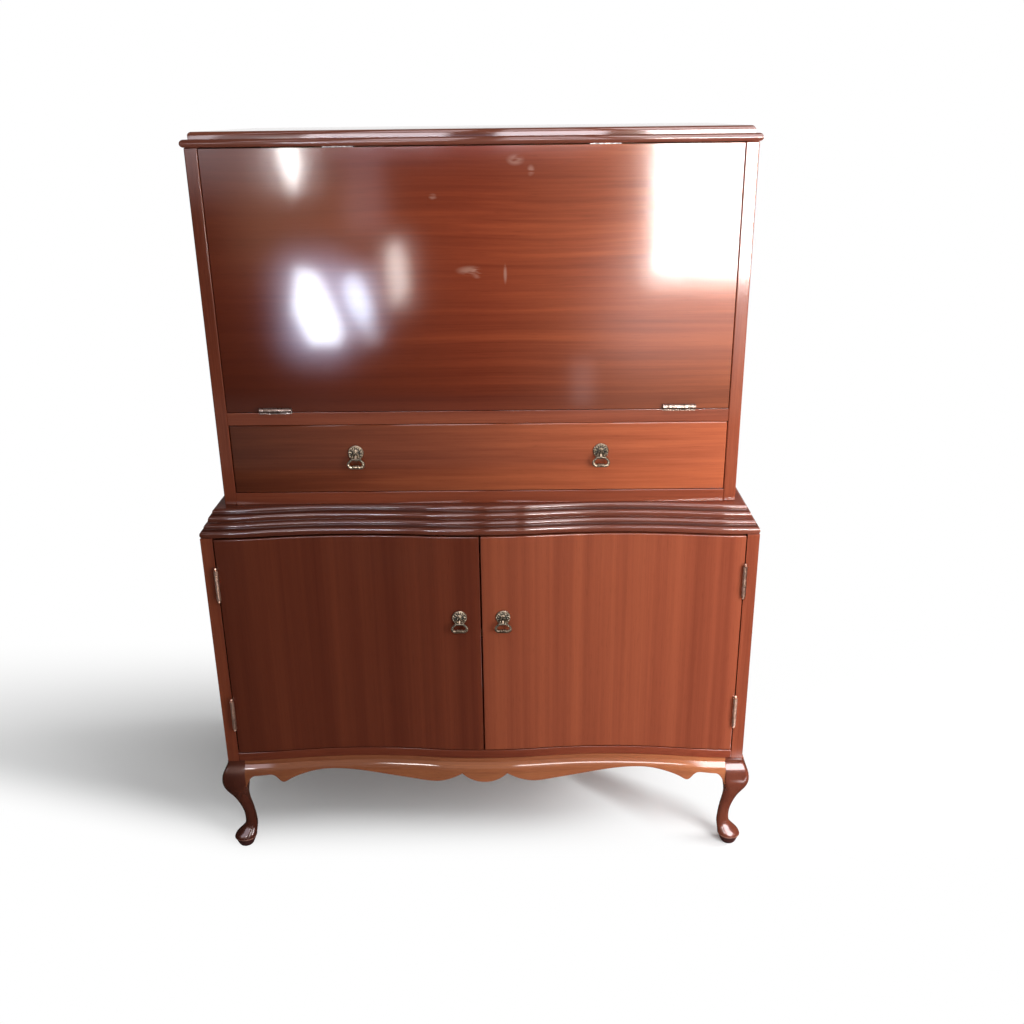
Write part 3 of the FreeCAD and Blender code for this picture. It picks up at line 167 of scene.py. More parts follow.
def smooth_through(places, values, at):
    """A natural cubic spline through (place, value) pairs, read at other places."""
    x, y = np.asarray(places, float), np.asarray(values, float)
    gap = np.diff(x)
    slope = np.diff(y) / gap
    count = len(x)
    system = np.eye(count)
    right = np.zeros(count)
    for i in range(1, count - 1):
        system[i, i - 1:i + 2] = [gap[i - 1], 2 * (gap[i - 1] + gap[i]), gap[i]]
        right[i] = 6 * (slope[i] - slope[i - 1])
    bend = np.linalg.solve(system, right)
    index = np.clip(np.searchsorted(x, at) - 1, 0, count - 2)
    h, low, high = gap[index], x[index], x[index + 1]
    a, b = (high - at) / h, (at - low) / h
    curve = (a ** 3 - a) * bend[index] + (b ** 3 - b) * bend[index + 1]
    return a * y[index] + b * y[index + 1] + curve * h ** 2 / 6


# ---- serpentine: arcs about fixed centres, so that an offset line keeps the centres and changes the radii
def ogee_radii(run, rise):
    """Sum of the two radii of an ogee: run and rise squared, added, over twice the rise."""
    return (run ** 2 + rise ** 2) / (2 * rise)


INNER_OGEE = ogee_radii(VALLEY_X, VALLEY_DEPTH - CENTRE_DEPTH)
OUTER_OGEE = ogee_radii(HALF - VALLEY_X, VALLEY_DEPTH)
VALLEY_RADIUS = VALLEY_SHARE * min(INNER_OGEE, OUTER_OGEE)
CENTRE_RADIUS = INNER_OGEE - VALLEY_RADIUS
END_RADIUS = OUTER_OGEE - VALLEY_RADIUS


def serpentine_y(x, setback):
    """The serpentine at a setback: the nearer of a bow at the centre and at the end, joined by a hollow."""
    x = np.abs(x)
    centre_y = FRONT + CENTRE_DEPTH + CENTRE_RADIUS
    valley_y = FRONT + VALLEY_DEPTH - VALLEY_RADIUS
    end_y = FRONT + END_RADIUS
    hollow = VALLEY_RADIUS + setback
    inner = VALLEY_X * (1 - hollow / INNER_OGEE)
    outer = VALLEY_X + (HALF - VALLEY_X) * hollow / OUTER_OGEE
    bow = centre_y - np.sqrt(np.maximum((CENTRE_RADIUS - setback) ** 2 - x ** 2, 0))
    dip = valley_y + np.sqrt(np.maximum(hollow ** 2 - (x - VALLEY_X) ** 2, 0))
    end = end_y - np.sqrt(np.maximum((END_RADIUS - setback) ** 2 - (x - HALF) ** 2, 0))
    return np.where(x < inner, bow, np.where(x < outer, dip, end))


# ---- materials
def feed(tree, socket, value):
    """An input is linked from a socket, or set to a value."""
    if isinstance(value, bpy.types.NodeSocket):
        tree.links.new(value, socket)
    else:
        socket.default_value = value


def fill(tree, made, **inputs):
    """The named inputs of a node, with _ for a blank, fed from sockets or values."""
    for key, value in inputs.items():
        feed(tree, made.inputs[key.replace("_", " ")], value)
    return made


def node(tree, kind, **inputs):
    return fill(tree, tree.nodes.new(kind), **inputs)


def steps_of(tree, made, operation, values):
    """An arithmetic node with its operation and its inputs in their order."""
    made.operation = operation
    for socket, value in zip(made.inputs, values):
        feed(tree, socket, value)
    return made


def place_of(tree):
    return tree.nodes.new("ShaderNodeTexCoord").outputs["Object"]


def mark_of(tree, name):
    """What a mesh's attribute says at each point."""
    mark = tree.nodes.new("ShaderNodeAttribute")
    mark.attribute_name = name
    return mark.outputs["Fac"]


def new_material(name):
    material = bpy.data.materials.new(name)
    material.use_nodes = True
    tree = material.node_tree
    return material, tree, tree.nodes["Principled BSDF"]


def reckon(tree, operation, *values):
    """One step of arithmetic on numbers or sockets."""
    return steps_of(tree, tree.nodes.new("ShaderNodeMath"), operation, values).outputs[0]


def reckon_place(tree, operation, *values):
    """One step of arithmetic on vectors. A length is a number, every other result a vector."""
    made = steps_of(tree, tree.nodes.new("ShaderNodeVectorMath"), operation, values)
    return made.outputs["Value" if operation == "LENGTH" else "Vector"]


def stretched(tree, grain, along, across, place=None, shift=0.0):
    """Coordinates drawn out along the grain, as cycles per metre along and across it."""
    scale = [across, across, across]
    scale["XYZ".index(grain)] = along
    place = place_of(tree) if place is None else place
    start = (shift, 0.7 * shift, 1.3 * shift)
    mapped = node(tree, "ShaderNodeMapping", Vector=place, Scale=scale, Location=start)
    return mapped.outputs["Vector"]


def noise(tree, vector, scale=1.0, detail=2.0, roughness=0.5, distortion=0.0):
    made = node(tree, "ShaderNodeTexNoise", Vector=vector, Scale=scale, Detail=detail, Roughness=roughness)
    return fill(tree, made, Distortion=distortion).outputs["Fac"]


def ramp(tree, factor, stops):
    """A colour ramp from (position, colour) stops. A number stands for a grey."""
    made = node(tree, "ShaderNodeValToRGB", Fac=factor)
    elements = made.color_ramp.elements
    while len(elements) < len(stops):
        elements.new(0.5)
    for element, (position, colour) in zip(elements, stops):
        element.position = position
        element.color = (colour, colour, colour, 1) if isinstance(colour, (int, float)) else (*colour, 1)
    return made.outputs["Color"]


def mix(tree, factor, a, b, blend="MIX"):
    made = tree.nodes.new("ShaderNodeMix")
    made.data_type = "RGBA"
    made.blend_type = blend
    feed(tree, made.inputs[0], factor)
    for socket, colour in ((made.inputs[6], a), (made.inputs[7], b)):
        feed(tree, socket, colour if isinstance(colour, bpy.types.NodeSocket) else (*colour, 1))
    return made.outputs[2]


def bump(tree, height, distance, strength=1.0, normal=None):
    made = node(tree, "ShaderNodeBump", Height=height, Distance=distance, Strength=strength)
    if normal is not None:
        feed(tree, made.inputs["Normal"], normal)
    return made.outputs["Normal"]


def graded(tree, factor, low, high, low_value, high_value, interpolation="SMOOTHSTEP"):
    """A value that goes from one level to another while its factor goes from low to high."""
    made = node(tree, "ShaderNodeMapRange", Value=factor, From_Min=low, From_Max=high)
    made.interpolation_type = interpolation
    return fill(tree, made, To_Min=low_value, To_Max=high_value).outputs["Result"]


def axis_of(tree, axis):
    return node(tree, "ShaderNodeSeparateXYZ", Vector=place_of(tree)).outputs[axis]


# Figure of a veneer at each scale: cycles per metre along the grain, across it, and how strongly it shows.
STRAIGHT_FIGURE = ((0.25, 9.0, 0.50), (0.4, 34.0, 0.42), (0.9, 110.0, 0.24), (5.0, 560.0, 0.14))
ROVING_FIGURE = ((0.7, 9.0, 0.45), (1.1, 60.0, 0.48), (1.8, 140.0, 0.56), (8.0, 560.0, 0.20))
DRAWER_FIGURE = ((0.9, 11.0, 0.40), (2.6, 52.0, 0.42), (4.0, 130.0, 0.42), (9.0, 560.0, 0.20))
PLAIN_FIGURE = ((1.0, 14.0, 0.6), (1.6, 60.0, 0.45), (9.0, 520.0, 0.3))
COAT_ROUGHNESS = 0.075
COAT_WAVE = 0.35 * MM
COAT_PEEL = 0.006 * MM
WAVE_SCALE = 6.0
PEEL_SCALE = 240.0
# Pores: cycles per metre along the grain and across it, and how deep they are.
PORES = (38.0, 1300.0)
PORE_DEPTH = 0.03 * MM


def roving(tree, grain, drift):
    """Object coordinates that slide across the grain with a slow noise, so that the fibres run in waves."""
    slow = noise(tree, stretched(tree, grain, 2.2, 4.5), 1.0, 1.0, 0.4)
    across = [drift, drift, drift]
    across["XYZ".index(grain)] = 0.0
    return reckon_place(tree, "MULTIPLY_ADD", slow, across, place_of(tree))


def figure_of(tree, grain, figure, drift, seed):
    """How light the veneer is, about a half: a weighted sum of noises that are drawn out along the grain."""
    fibres = roving(tree, grain, drift)
    total = 0.5 - sum(weight for _, _, weight in figure) / 2
    for along, across, weight in figure:
        band = noise(tree, stretched(tree, grain, along, across, fibres, seed))
        total = reckon(tree, "MULTIPLY_ADD", band, weight, total)
    return total


def painted_side_light(tree, colour, left, right):
    """Painted light and shade: lighter towards the right, where the lamps stand, and darker towards the
    left; shares of the colour at the case's left and right ends.

    A share is one number, or one each for red, green and blue.
    """
    x = axis_of(tree, "X")
    left, right = (end if isinstance(end, tuple) else (end, end, end) for end in (left, right))
    even = (1.0, 1.0, 1.0)
    for low, high, low_share, high_share in ((-CASE_END, 0.0, left, even), (0.0, CASE_END, even, right)):
        way = graded(tree, x, low, high, 0.0, 1.0, "LINEAR")
        colour = mix(tree, 1.0, colour, mix(tree, way, low_share, high_share), "MULTIPLY")
    return colour


def polished_wood(
    name, grain, tones, figure=PLAIN_FIGURE, drift=0.01, fade=(0.7, 1.4), seed=0.0, extra=None, calm=None,
    coat=1.0, coat_roughness=COAT_ROUGHNESS, wave=COAT_WAVE, peel=COAT_PEEL, hollows=False,
):
    """Polished mahogany: figured fibres with short dark pores, under a gloss coat that may wave a little.

    calm gives two places along X between which the figure grows to its full strength.
    hollows says that the mesh marks its hollows, which get painted shade: a darker colour and less coat.
    """
    dark, middle, light = tones
    material, tree, shader = new_material(name)
    lightness = figure_of(tree, grain, figure, drift, seed)
    if calm is not None:
        strength = graded(tree, axis_of(tree, "X"), *calm, 0.35, 1.0)
        lightness = reckon(tree, "MULTIPLY_ADD", reckon(tree, "SUBTRACT", lightness, 0.5), strength, 0.5)
    colour = ramp(tree, lightness, [(0.30, dark), (0.5, middle), (0.70, light)])
    pore_mask = ramp(tree, noise(tree, stretched(tree, grain, *PORES)), [(0.60, 0.0), (0.72, 0.25)])
    colour = mix(tree, pore_mask, colour, [0.4 * channel for channel in dark])
    # Painted light and shade: darker to the left, lighter to the right.
    colour = painted_side_light(tree, colour, *fade)
    if extra is not None:
        colour = extra(tree, colour)
    coat_weight = coat
    # Painted shade in the marked hollows of the mouldings: darker, with less coat to mirror light.
    if hollows:
        depth = mark_of(tree, "hollow")
        colour = mix(tree, reckon(tree, "MULTIPLY", depth, 0.7), colour, [0.3 * channel for channel in dark])
        coat_weight = reckon(tree, "MULTIPLY_ADD", depth, -0.85 * coat, coat)
    place = place_of(tree)
    smooth = bump(tree, noise(tree, place, WAVE_SCALE, 2.0, 0.4), wave, 0.5)
    coat_normal = bump(tree, noise(tree, place, PEEL_SCALE), peel, 0.5, smooth)
    fill(tree, shader, Base_Color=colour, Roughness=0.5, Specular_IOR_Level=0.0, Coat_Weight=coat_weight)
    fill(tree, shader, Coat_Roughness=coat_roughness, Coat_Normal=coat_normal)
    fill(tree, shader, Normal=bump(tree, pore_mask, PORE_DEPTH, 0.4))
    return material


def scuffed(tree, colour, x, z, wide, tall):
    """A pale rubbed patch on the outer face: an oval about a place, broken up by noise."""
    start = (-x / wide, -FLAP_FACE / SCUFF_DEPTH, -z / tall)
    scale = (1 / wide, 1 / SCUFF_DEPTH, 1 / tall)
    centred = node(tree, "ShaderNodeMapping", Vector=place_of(tree), Location=start, Scale=scale)
    away = reckon_place(tree, "LENGTH", centred.outputs["Vector"])
    broken = ramp(tree, noise(tree, stretched(tree, "X", 26.0, 110.0)), [(0.40, 0.0), (0.50, 1.0)])
    share = reckon(tree, "MULTIPLY", graded(tree, away, 0.2, 1.0, 0.55, 0.0), broken)
    return mix(tree, share, colour, SCUFF_TONE)


def plain_wood(name, grain, dark, light, roughness=0.5):
    """Inside timber: sanded, with a thin sealer, so that its fibres stay open."""
    material, tree, shader = new_material(name)
    rings = noise(tree, stretched(tree, grain, 0.6, 22.0), 1.0, 4.0, 0.6, 0.5)
    colour = ramp(tree, rings, [(0.3, dark), (0.7, light)])
    fibre = noise(tree, stretched(tree, grain, 9.0, 420.0), 1.0, 3.0, 0.6)
    colour = mix(tree, 0.6, colour, ramp(tree, fibre, [(0.3, 0.7), (0.7, 1.15)]), "MULTIPLY")
    normal = bump(tree, fibre, 0.06 * MM, 0.6)
    fill(tree, shader, Base_Color=colour, Roughness=roughness, Specular_IOR_Level=0.2, Normal=normal)
    return material


def aged_brass(name, high, hollow, roughness=0.3):
    """Old brass: rubbed bright on the high spots of its relief and grey green in the hollows."""
    material, tree, shader = new_material(name)
    spots = noise(tree, place_of(tree), 900.0, 4.0, 0.6)
    worn = reckon(tree, "MULTIPLY_ADD", mark_of(tree, "relief"), 1.1, spots)
    mask = ramp(tree, worn, [(0.66, 0.0), (1.08, 1.0)])
    polish = ramp(tree, mask, [(0.0, 0.62), (1.0, roughness)])
    metal = ramp(tree, mask, [(0.0, 0.55), (1.0, 1.0)])
    fill(tree, shader, Base_Color=mix(tree, mask, hollow, high), Roughness=polish, Metallic=metal)
    fill(tree, shader, Normal=bump(tree, spots, 0.06 * MM, 0.5))
    return material


def worn_metal(name, colour, dull, roughness, scale=240.0):
    """Plain hardware: clean metal with dull patches and fine scratches."""
    material, tree, shader = new_material(name)
    place = place_of(tree)
    patches = noise(tree, place, scale, 4.0, 0.6)
    shown = mix(tree, ramp(tree, patches, [(0.4, 0.0), (0.62, 1.0)]), dull, colour)
    gloss = ramp(tree, patches, [(0.35, roughness + 0.25), (0.65, roughness)])
    scratches = bump(tree, noise(tree, place, 2600.0), 0.01 * MM, 0.5)
    fill(tree, shader, Base_Color=shown, Roughness=gloss, Metallic=1.0, Normal=scratches)
    return material


def toned(middle, depth=0.72, light=1.3):
    """A veneer's dark, middle and light tones: the dark one is redder and the light one more orange."""
    red, green, blue = middle
    dark = (red * depth, green * depth * 0.92, blue * depth * 0.95)
    return dark, middle, (red * light, green * light * 1.06, blue * light)


# Rubbed patches on the flap: x, z, half width, half height.
SCUFFS = (
    (-0.006, 1.041, 0.026, 0.009),
    (0.004, 1.036, 0.011, 0.009),
    (0.048, 1.035, 0.0035, 0.018),
    (0.065, 1.201, 0.016, 0.010),
    (0.088, 1.186, 0.007, 0.010),
    (-0.059, 1.150, 0.008, 0.006),
)
SCUFF_DEPTH = 8 * MM
SCUFF_TONE = (0.42, 0.24, 0.18)
FLAP_LEVELS = (0.83, 1.02)


def rubbed_flap(tree, colour):
    """Darker towards the hinges, with the scuffs."""
    share = graded(tree, axis_of(tree, "Z"), *FLAP_LEVELS, 0.62, 1.0, "LINEAR")
    colour = mix(tree, 1.0, colour, share, "MULTIPLY")
    for scuff in SCUFFS:
        colour = scuffed(tree, colour, *scuff)
    return colour


RIM_LEVELS = (19.2 * MM, 17.6 * MM)
RIM_TONE = (0.40, 0.22, 0.17)


def pale_rim(tree, colour):
    """A pale band along the rim of a pad foot, broken into patches by noise."""
    rim = graded(tree, axis_of(tree, "Z"), *RIM_LEVELS, 0.0, 0.75)
    patches = ramp(tree, noise(tree, stretched(tree, "Z", 60.0, 60.0)), [(0.40, 0.15), (0.58, 1.0)])
    return mix(tree, reckon(tree, "MULTIPLY", rim, patches), colour, RIM_TONE)


# Each finish's fade gives its shares of painted light and shade at the case's left and right ends.
CASE_TONE = (0.19, 0.044, 0.021)
CASE_PEEL = 0.0015 * MM
CASE = {
    axis: polished_wood("case_polish_grain_" + axis.lower(), axis, toned(CASE_TONE), seed=2.0,
                        fade=(0.75, 1.5), peel=CASE_PEEL)
    for axis in "XYZ"
}
SMOOTH = {"wave": 0.015 * MM, "peel": 0.0005 * MM}
WAIST_WOOD = polished_wood("waist_polish", "X", toned((0.110, 0.030, 0.018)), fade=(0.70, 1.9), seed=3.0,
                           coat=0.8, coat_roughness=0.07, hollows=True, **SMOOTH)
TOP_WOOD = polished_wood("top_polish", "X", toned((0.175, 0.054, 0.034)), fade=(1.05, 1.45), seed=1.0,
                         coat_roughness=0.06, **SMOOTH)
APRON_WOOD = {
    axis: polished_wood("apron_polish_grain_" + axis.lower(), axis, toned((0.250, 0.082, 0.036)),
                        fade=(0.78, 1.7), **SMOOTH)
    for axis in "XY"
}
LEG_WOOD = polished_wood("leg_polish", "Z", toned((0.084, 0.021, 0.012)), fade=(0.75, 1.9), seed=8.0,
                         extra=pale_rim, coat_roughness=0.15, **SMOOTH)
BOARD_WOOD = polished_wood("bottom_board_polish", "X", toned((0.13, 0.028, 0.014)), seed=7.0,
                           fade=(0.75, 2.2))
FLAP_VENEER = polished_wood("flap_polish", "X", toned((0.205, 0.037, 0.0150)), ROVING_FIGURE, 0.03,
                            (0.42, (1.85, 2.3, 2.0)), 5.0, extra=rubbed_flap, calm=(-0.30, 0.10))
DRAWER_VENEER = polished_wood("drawer_polish", "X", toned((0.225, 0.054, 0.023)), DRAWER_FIGURE, 0.015,
                              (0.26, 2.0), 9.0)
# The two doors are one veneer in a darker and a lighter copy: painted shade on the left door and painted
# light on the right.
LEFT_DOOR_VENEER = polished_wood("left_door_polish", "Z", toned((0.113, 0.0245, 0.0118)), STRAIGHT_FIGURE,
                                 0.004, (0.72, 1.0), 4.0)
RIGHT_DOOR_VENEER = polished_wood("right_door_polish", "Z", toned((0.197, 0.047, 0.0225)), STRAIGHT_FIGURE,
                                  0.004, (1.0, 1.65), 6.0)
INTERIOR = {
    axis: plain_wood("inside_timber_grain_" + axis.lower(), axis, (0.24, 0.10, 0.04), (0.36, 0.17, 0.075))
    for axis in "XYZ"
}
PLYWOOD = plain_wood("plywood", "X", (0.33, 0.19, 0.09), (0.45, 0.28, 0.15), 0.6)
OLD_BRASS = aged_brass("old_brass", (0.215, 0.178, 0.125), (0.018, 0.017, 0.011), 0.34)
HINGE_BRASS = worn_metal("hinge_brass", (0.62, 0.44, 0.34), (0.34, 0.22, 0.16), 0.28, 120.0)
FLAP_BRASS = worn_metal("flap_hinge_brass", (0.30, 0.24, 0.20), (0.10, 0.075, 0.06), 0.2)
CATCH_STEEL = worn_metal("catch_steel", (0.55, 0.55, 0.54), (0.32, 0.31, 0.30), 0.35)
SOLE_WOOD = plain_wood("foot_sole", "Z", (0.045, 0.009, 0.007), (0.075, 0.015, 0.011), 0.6)

PLAIN_SLOTS = {
    "flap_veneer": FLAP_VENEER, "drawer_veneer": DRAWER_VENEER, "plywood": PLYWOOD,
    "hinge_brass": HINGE_BRASS, "aged_brass": OLD_BRASS, "catch_steel": CATCH_STEEL,
}
UPRIGHT = ("upper_side_left", "upper_side_right", "lower_side_left", "lower_side_right")
ACROSS_Y = (
    "apron_left", "apron_right", "drawer_side_left", "drawer_side_right", "shelf_bearers", "drawer_runners",
)


def grain_of(name):
    if name in UPRIGHT or name.startswith("leg_") or name == "corner_blocks":
        return "Z"
    return "Y" if name in ACROSS_Y else "X"


def finish_of(name):
    """The material of a CAD node, from its slot and the way its grain runs."""
    slot = SLOT_OF[name]
    if name.startswith("flap_hinge"):
        return FLAP_BRASS
    if slot == "case_mahogany":
        return CASE[grain_of(name)]
    if slot == "interior_wood":
        return INTERIOR[grain_of(name)]
    return PLAIN_SLOTS[slot]


# ---- flat boards: the CAD board with its long edges eased
LONG_EDGE = 12 * MM
SHARP_TURN = 50


def eased_board(name):
    """A copy of a flat CAD board whose long sharp edges are rounded over, as sanding leaves them."""
    mesh = NODES[name].data.copy()
    mesh.materials.clear()
    work = bmesh.new()
    work.from_mesh(mesh)
    bmesh.ops.remove_doubles(work, verts=work.verts, dist=WELD)
    bmesh.ops.dissolve_limit(work, angle_limit=math.radians(0.5), verts=work.verts, edges=work.edges)
    weight = work.edges.layers.float.new("bevel_weight_edge")
    for edge in work.edges:
        if edge.calc_length() > LONG_EDGE and edge.is_manifold:
            edge[weight] = float(edge.calc_face_angle() > math.radians(SHARP_TURN))
    work.to_mesh(mesh)
    work.free()
    board = add_object(name + "_board", mesh, finish_of(name))
    rounding = board.modifiers.new("eased", "BEVEL")
    rounding.limit_method = "WEIGHT"
    rounding.width = SOFT_EDGES.get(name, EASE)
    rounding.segments = 2
    board.modifiers.new("even_shading", "WEIGHTED_NORMAL").keep_sharp = True
    settle(board, name)


# ---- boards with a curved front
def curved_board(name, node_name, back, material, ease, columns=90):
    """A rounded box with a serpentine front: a core shrunk by the easing radius, grown by a ball of it.

    back gives the rear face's y at each x.
    """
    low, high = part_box(node_name)
    x0, x1 = low.x, high.x
    swell = np.radians(np.linspace(0, 90, ARC_STEPS + 1))
    middle = np.linspace(x0 + ease, x1 - ease, columns)
    x = np.concatenate([x0 + ease - ease * np.cos(swell), middle[1:-1], x1 - ease + ease * np.sin(swell)])
    radius = np.concatenate([ease * np.sin(swell), np.full(columns - 2, ease), ease * np.cos(swell)])
    corners = [(0, 0, 180), (1, 0, 270), (1, 1, 0), (0, 1, 90)]
    loops = []
    for at_back, at_top, start in corners:
        turn = np.radians(np.linspace(start, start + 90, ARC_STEPS + 1))
        y = back(x) - ease if at_back else serpentine_y(x, 0) + ease
        z = high.z - ease if at_top else low.z + ease
        across = np.broadcast_to(x[:, None], (len(x), len(turn)))
        round_y = y[:, None] + radius[:, None] * np.cos(turn)
        loops.append(np.stack([across, round_y, z + radius[:, None] * np.sin(turn)], -1))
    board = loft(name, np.concatenate(loops, 1), material, sharp_angle=60)
    board.modifiers.new("even_shading", "WEIGHTED_NORMAL").keep_sharp = True
    settle(board, node_name)


def curved_boards():
    """The two doors, with upright grain, and the board under them."""
    for name, veneer in (("door_left", LEFT_DOOR_VENEER), ("door_right", RIGHT_DOOR_VENEER)):
        curved_board(name + "_veneered", name, lambda x: serpentine_y(x, DOOR_THICKNESS), veneer, DOOR_EASE)
    name = "lower_bottom_board"
    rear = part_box(name)[1].y
    curved_board(name + "_shaped", name, lambda x: np.full_like(x, rear), BOARD_WOOD, BOARD_EASE, 160)


# ---- mouldings: a profile carried round the front and mitred at the corners
def tier_profile(height):
    """Nosing, fillet and cove over a bead: (setback, height above the underside), from the top down.

    The second result is how deep in the hollow each point lies, from 0 to 1: a half sine over the cove.
    """
    nosing, fillet, cove, bead, groove = 4.5 * MM, 1.5 * MM, 4.0 * MM, 2.5 * MM, 1.0 * MM
    depth = nosing + cove + bead
    cove_top = height - nosing - fillet
    bead_top = cove_top - cove - groove
    half = (bead_top - groove) / 2
    turn = np.radians(np.linspace(90, -90, 2 * ARC_STEPS + 1))
    bulge = np.stack([bead - bead * np.cos(turn), groove + half + half * np.sin(turn)], -1)
    runs = [
        arc((depth, height - nosing), nosing, 90, 180, 2 * ARC_STEPS),
        [(depth - nosing, cove_top)],
        arc((bead, cove_top), cove, 0, -90, 2 * ARC_STEPS),
        bulge,
        [(bead, 0)],
    ]
    share = np.linspace(0, 1, len(runs[2]))
    deep = np.sin(np.pi * (0.15 + 0.7 * share))
    hollow = np.concatenate([np.zeros(len(runs[0])), [0.5], deep, np.zeros(len(bulge) + 1)])
    return np.concatenate(runs), hollow


def top_profile(height):
    """A quarter round set back above a half round nose."""
    nose, step, fillet = 5.75 * MM, 10.5 * MM, 5.0 * MM
    shoulder = 2 * nose + fillet
    rise = height - shoulder
    quarter = arc((step + rise, shoulder), rise, 90, 180, 3 * ARC_STEPS)
    return np.concatenate([quarter, [(step, 2 * nose)], arc((nose, nose), nose, 90, 270, 4 * ARC_STEPS)])


def moulding(name, profile, half, front_y, material, columns=140, hollow=None):
    """Each profile point runs along the left side, the front and the right side; the mitres are sharp.

    A point's run: out to the half width less its setback, at its own height over the node's underside.
    """
    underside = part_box(name)[0].z
    rows = []
    for setback, height in profile:
        reach = half - setback
        x = np.linspace(-reach, reach, columns)
        path = np.concatenate([[(-reach, BACK)], np.stack([x, front_y(x, setback)], -1), [(reach, BACK)]])
        rows.append(np.column_stack([path, np.full(len(path), underside + height)]))
    points = np.array(rows)
    marks = None if hollow is None else {"hollow": np.broadcast_to(hollow[:, None], points.shape[:2])}
    settle(loft(name + "_run", points, material, marks, 24), name)


def mouldings():
    """The two tiers of the waist, each stepped back from the one below, and the top board."""
    for name, step in (("waist_moulding_lower", 0.0), ("waist_moulding_upper", TIER_STEP)):
        low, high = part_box(name)
        profile, hollow = tier_profile(high.z - low.z)
        moulding(name, profile, HALF - step, lambda x, setback, step=step: serpentine_y(x, setback) + step,
                 WAIST_WOOD, hollow=hollow)
    low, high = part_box("top_board")
    moulding("top_board", top_profile(high.z - low.z), high.x,
             lambda x, setback: np.full_like(x, low.y + setback), TOP_WOOD, 60)


# ---- base
ROLL_RADIUS = 22 * MM
ROLL_PROUD = 11 * MM
ROLL_FILLET = 1 * MM
ROLL_LEVEL = BASE - 26 * MM
APRON_THICKNESS = 20 * MM
LEG_POST = 30 * MM
APRON_EASE = 1.5 * MM

LOBE_DROP, CUSP_X, CUSP_DROP = 43.5 * MM, 40 * MM, 26 * MM
# Lower edge of the front apron: share of the way from the cusp to the ear, drop below the case in mm.
SWAG = [(0, 26), (0.08, 37), (0.18, 43.5), (0.32, 41), (0.50, 34), (0.67, 26), (0.86, 20.5)]
# The ear beside a leg, in millimetres: distance from the leg's post, drop below the case.
EAR = [(128, 21.5), (98, 28.5), (76, 38.2), (64, 40.5), (55, 29.5), (42, 25), (22, 26.2), (8, 33), (0, 50)]
SIDE_DROP = 21 * MM


def roll_setback(z):
    """The roll's face: an upright below its middle, a quarter circle above, and a fillet under the case."""
    centre = ROLL_RADIUS - ROLL_PROUD
    above = np.clip(z - ROLL_LEVEL, 0, ROLL_RADIUS)
    face = centre - np.sqrt(ROLL_RADIUS ** 2 - above ** 2)
    return np.minimum(face, -ROLL_FILLET)


def front_lower_edge(x):
    """Height of the apron's lower edge: a lobe in the middle, then a swag and an ear towards each leg."""
    x = np.abs(x)
    ear = [((HALF - LEG_POST) / MM - along, drop) for along, drop in EAR]
    cusp = CUSP_X / MM
    stations = [(cusp + share * (ear[0][0] - cusp), drop) for share, drop in SWAG] + ear
    drop = smooth_through([s[0] * MM for s in stations], [s[1] * MM for s in stations], x)
    sag = LOBE_DROP - CUSP_DROP
    radius = (CUSP_X ** 2 + sag ** 2) / (2 * sag)
    lobe = LOBE_DROP - radius + np.sqrt(np.maximum(radius ** 2 - x ** 2, 0))
    return BASE - np.where(x < CUSP_X, lobe, drop)


def side_lower_edge(y):
    """Height of a side apron's lower edge: a spline from ear to ear, over a level swag in the middle."""
    depth_post = (BACK - LEG_POST) / MM
    ear = [(depth_post - along, drop) for along, drop in EAR]
    mirrored_ear = [(-along, drop) for along, drop in reversed(ear)]
    points = mirrored_ear + [(0, SIDE_DROP / MM)] + ear
    return BASE - smooth_through([p[0] * MM for p in points], [p[1] * MM for p in points], y)


def apron_rows(along, lower_edge, place):
    """Loops round the apron at stations along it: fillet, roll, eased lower edge, back."""
    low = lower_edge(along)[:, None]
    inside = ROLL_RADIUS - ROLL_PROUD + ROLL_FILLET
    fillet_foot = ROLL_LEVEL + math.sqrt(ROLL_RADIUS ** 2 - inside ** 2)
    share = np.linspace(0, 1, 26) ** 0.8
    face_z = fillet_foot + (low + APRON_EASE - fillet_foot) * share
    face = roll_setback(face_z)
    edge_face = face[:, -1:]
    back = APRON_THICKNESS - ROLL_PROUD
    turn = np.radians(np.array([30, 60, 90]))
    ease_s = edge_face + APRON_EASE * (1 - np.cos(turn))
    ease_z = low + APRON_EASE * (1 - np.sin(turn))
    flat = np.ones_like(low)
    setback = np.concatenate([-ROLL_FILLET * flat, face, ease_s, back * flat, back * flat], 1)
    z = np.concatenate([BASE * flat, face_z, ease_z, low, BASE * flat], 1)
    return place(np.broadcast_to(along[:, None], z.shape), setback, z)


def aprons():
    reach = HALF - LEG_POST
    x = np.linspace(-reach, reach, 321)

    def on_front(along, setback, z):
        return np.stack([along, serpentine_y(along, setback), z], -1)

    rows = apron_rows(x, front_lower_edge, on_front)
    settle(loft("apron_front_carved", rows, APRON_WOOD["X"], sharp_angle=40), "apron_front")
    y = np.linspace(FRONT + LEG_POST, BACK - LEG_POST, 161)
    for name, sign in (("apron_left", -1), ("apron_right", 1)):

        def on_side(along, setback, z, sign=sign):
            return np.stack([sign * (HALF - setback), along, z], -1)

        rows = apron_rows(y, side_lower_edge, on_side)
        settle(loft(name + "_carved", rows, APRON_WOOD["Y"], sharp_angle=40), name)


# Legs, in millimetres. Foot: rise above the sole, distance in from the case corner, half width, radius.
SOLE_HEIGHT = 17.0
FOOT = [(0, 12.0, 20.0, 19.5), (5, 13.5, 18.9, 18.4), (10, 16.6, 16.2, 15.7), (17, 21.0, 12.4, 11.9)]
# Shin: share of the way from the foot to the knee, then the same.
SHIN = [(0.13, 22.5, 10.5, 10.0), (0.365, 21.6, 9.9, 9.4), (0.66, 17.8, 10.8, 9.8)]
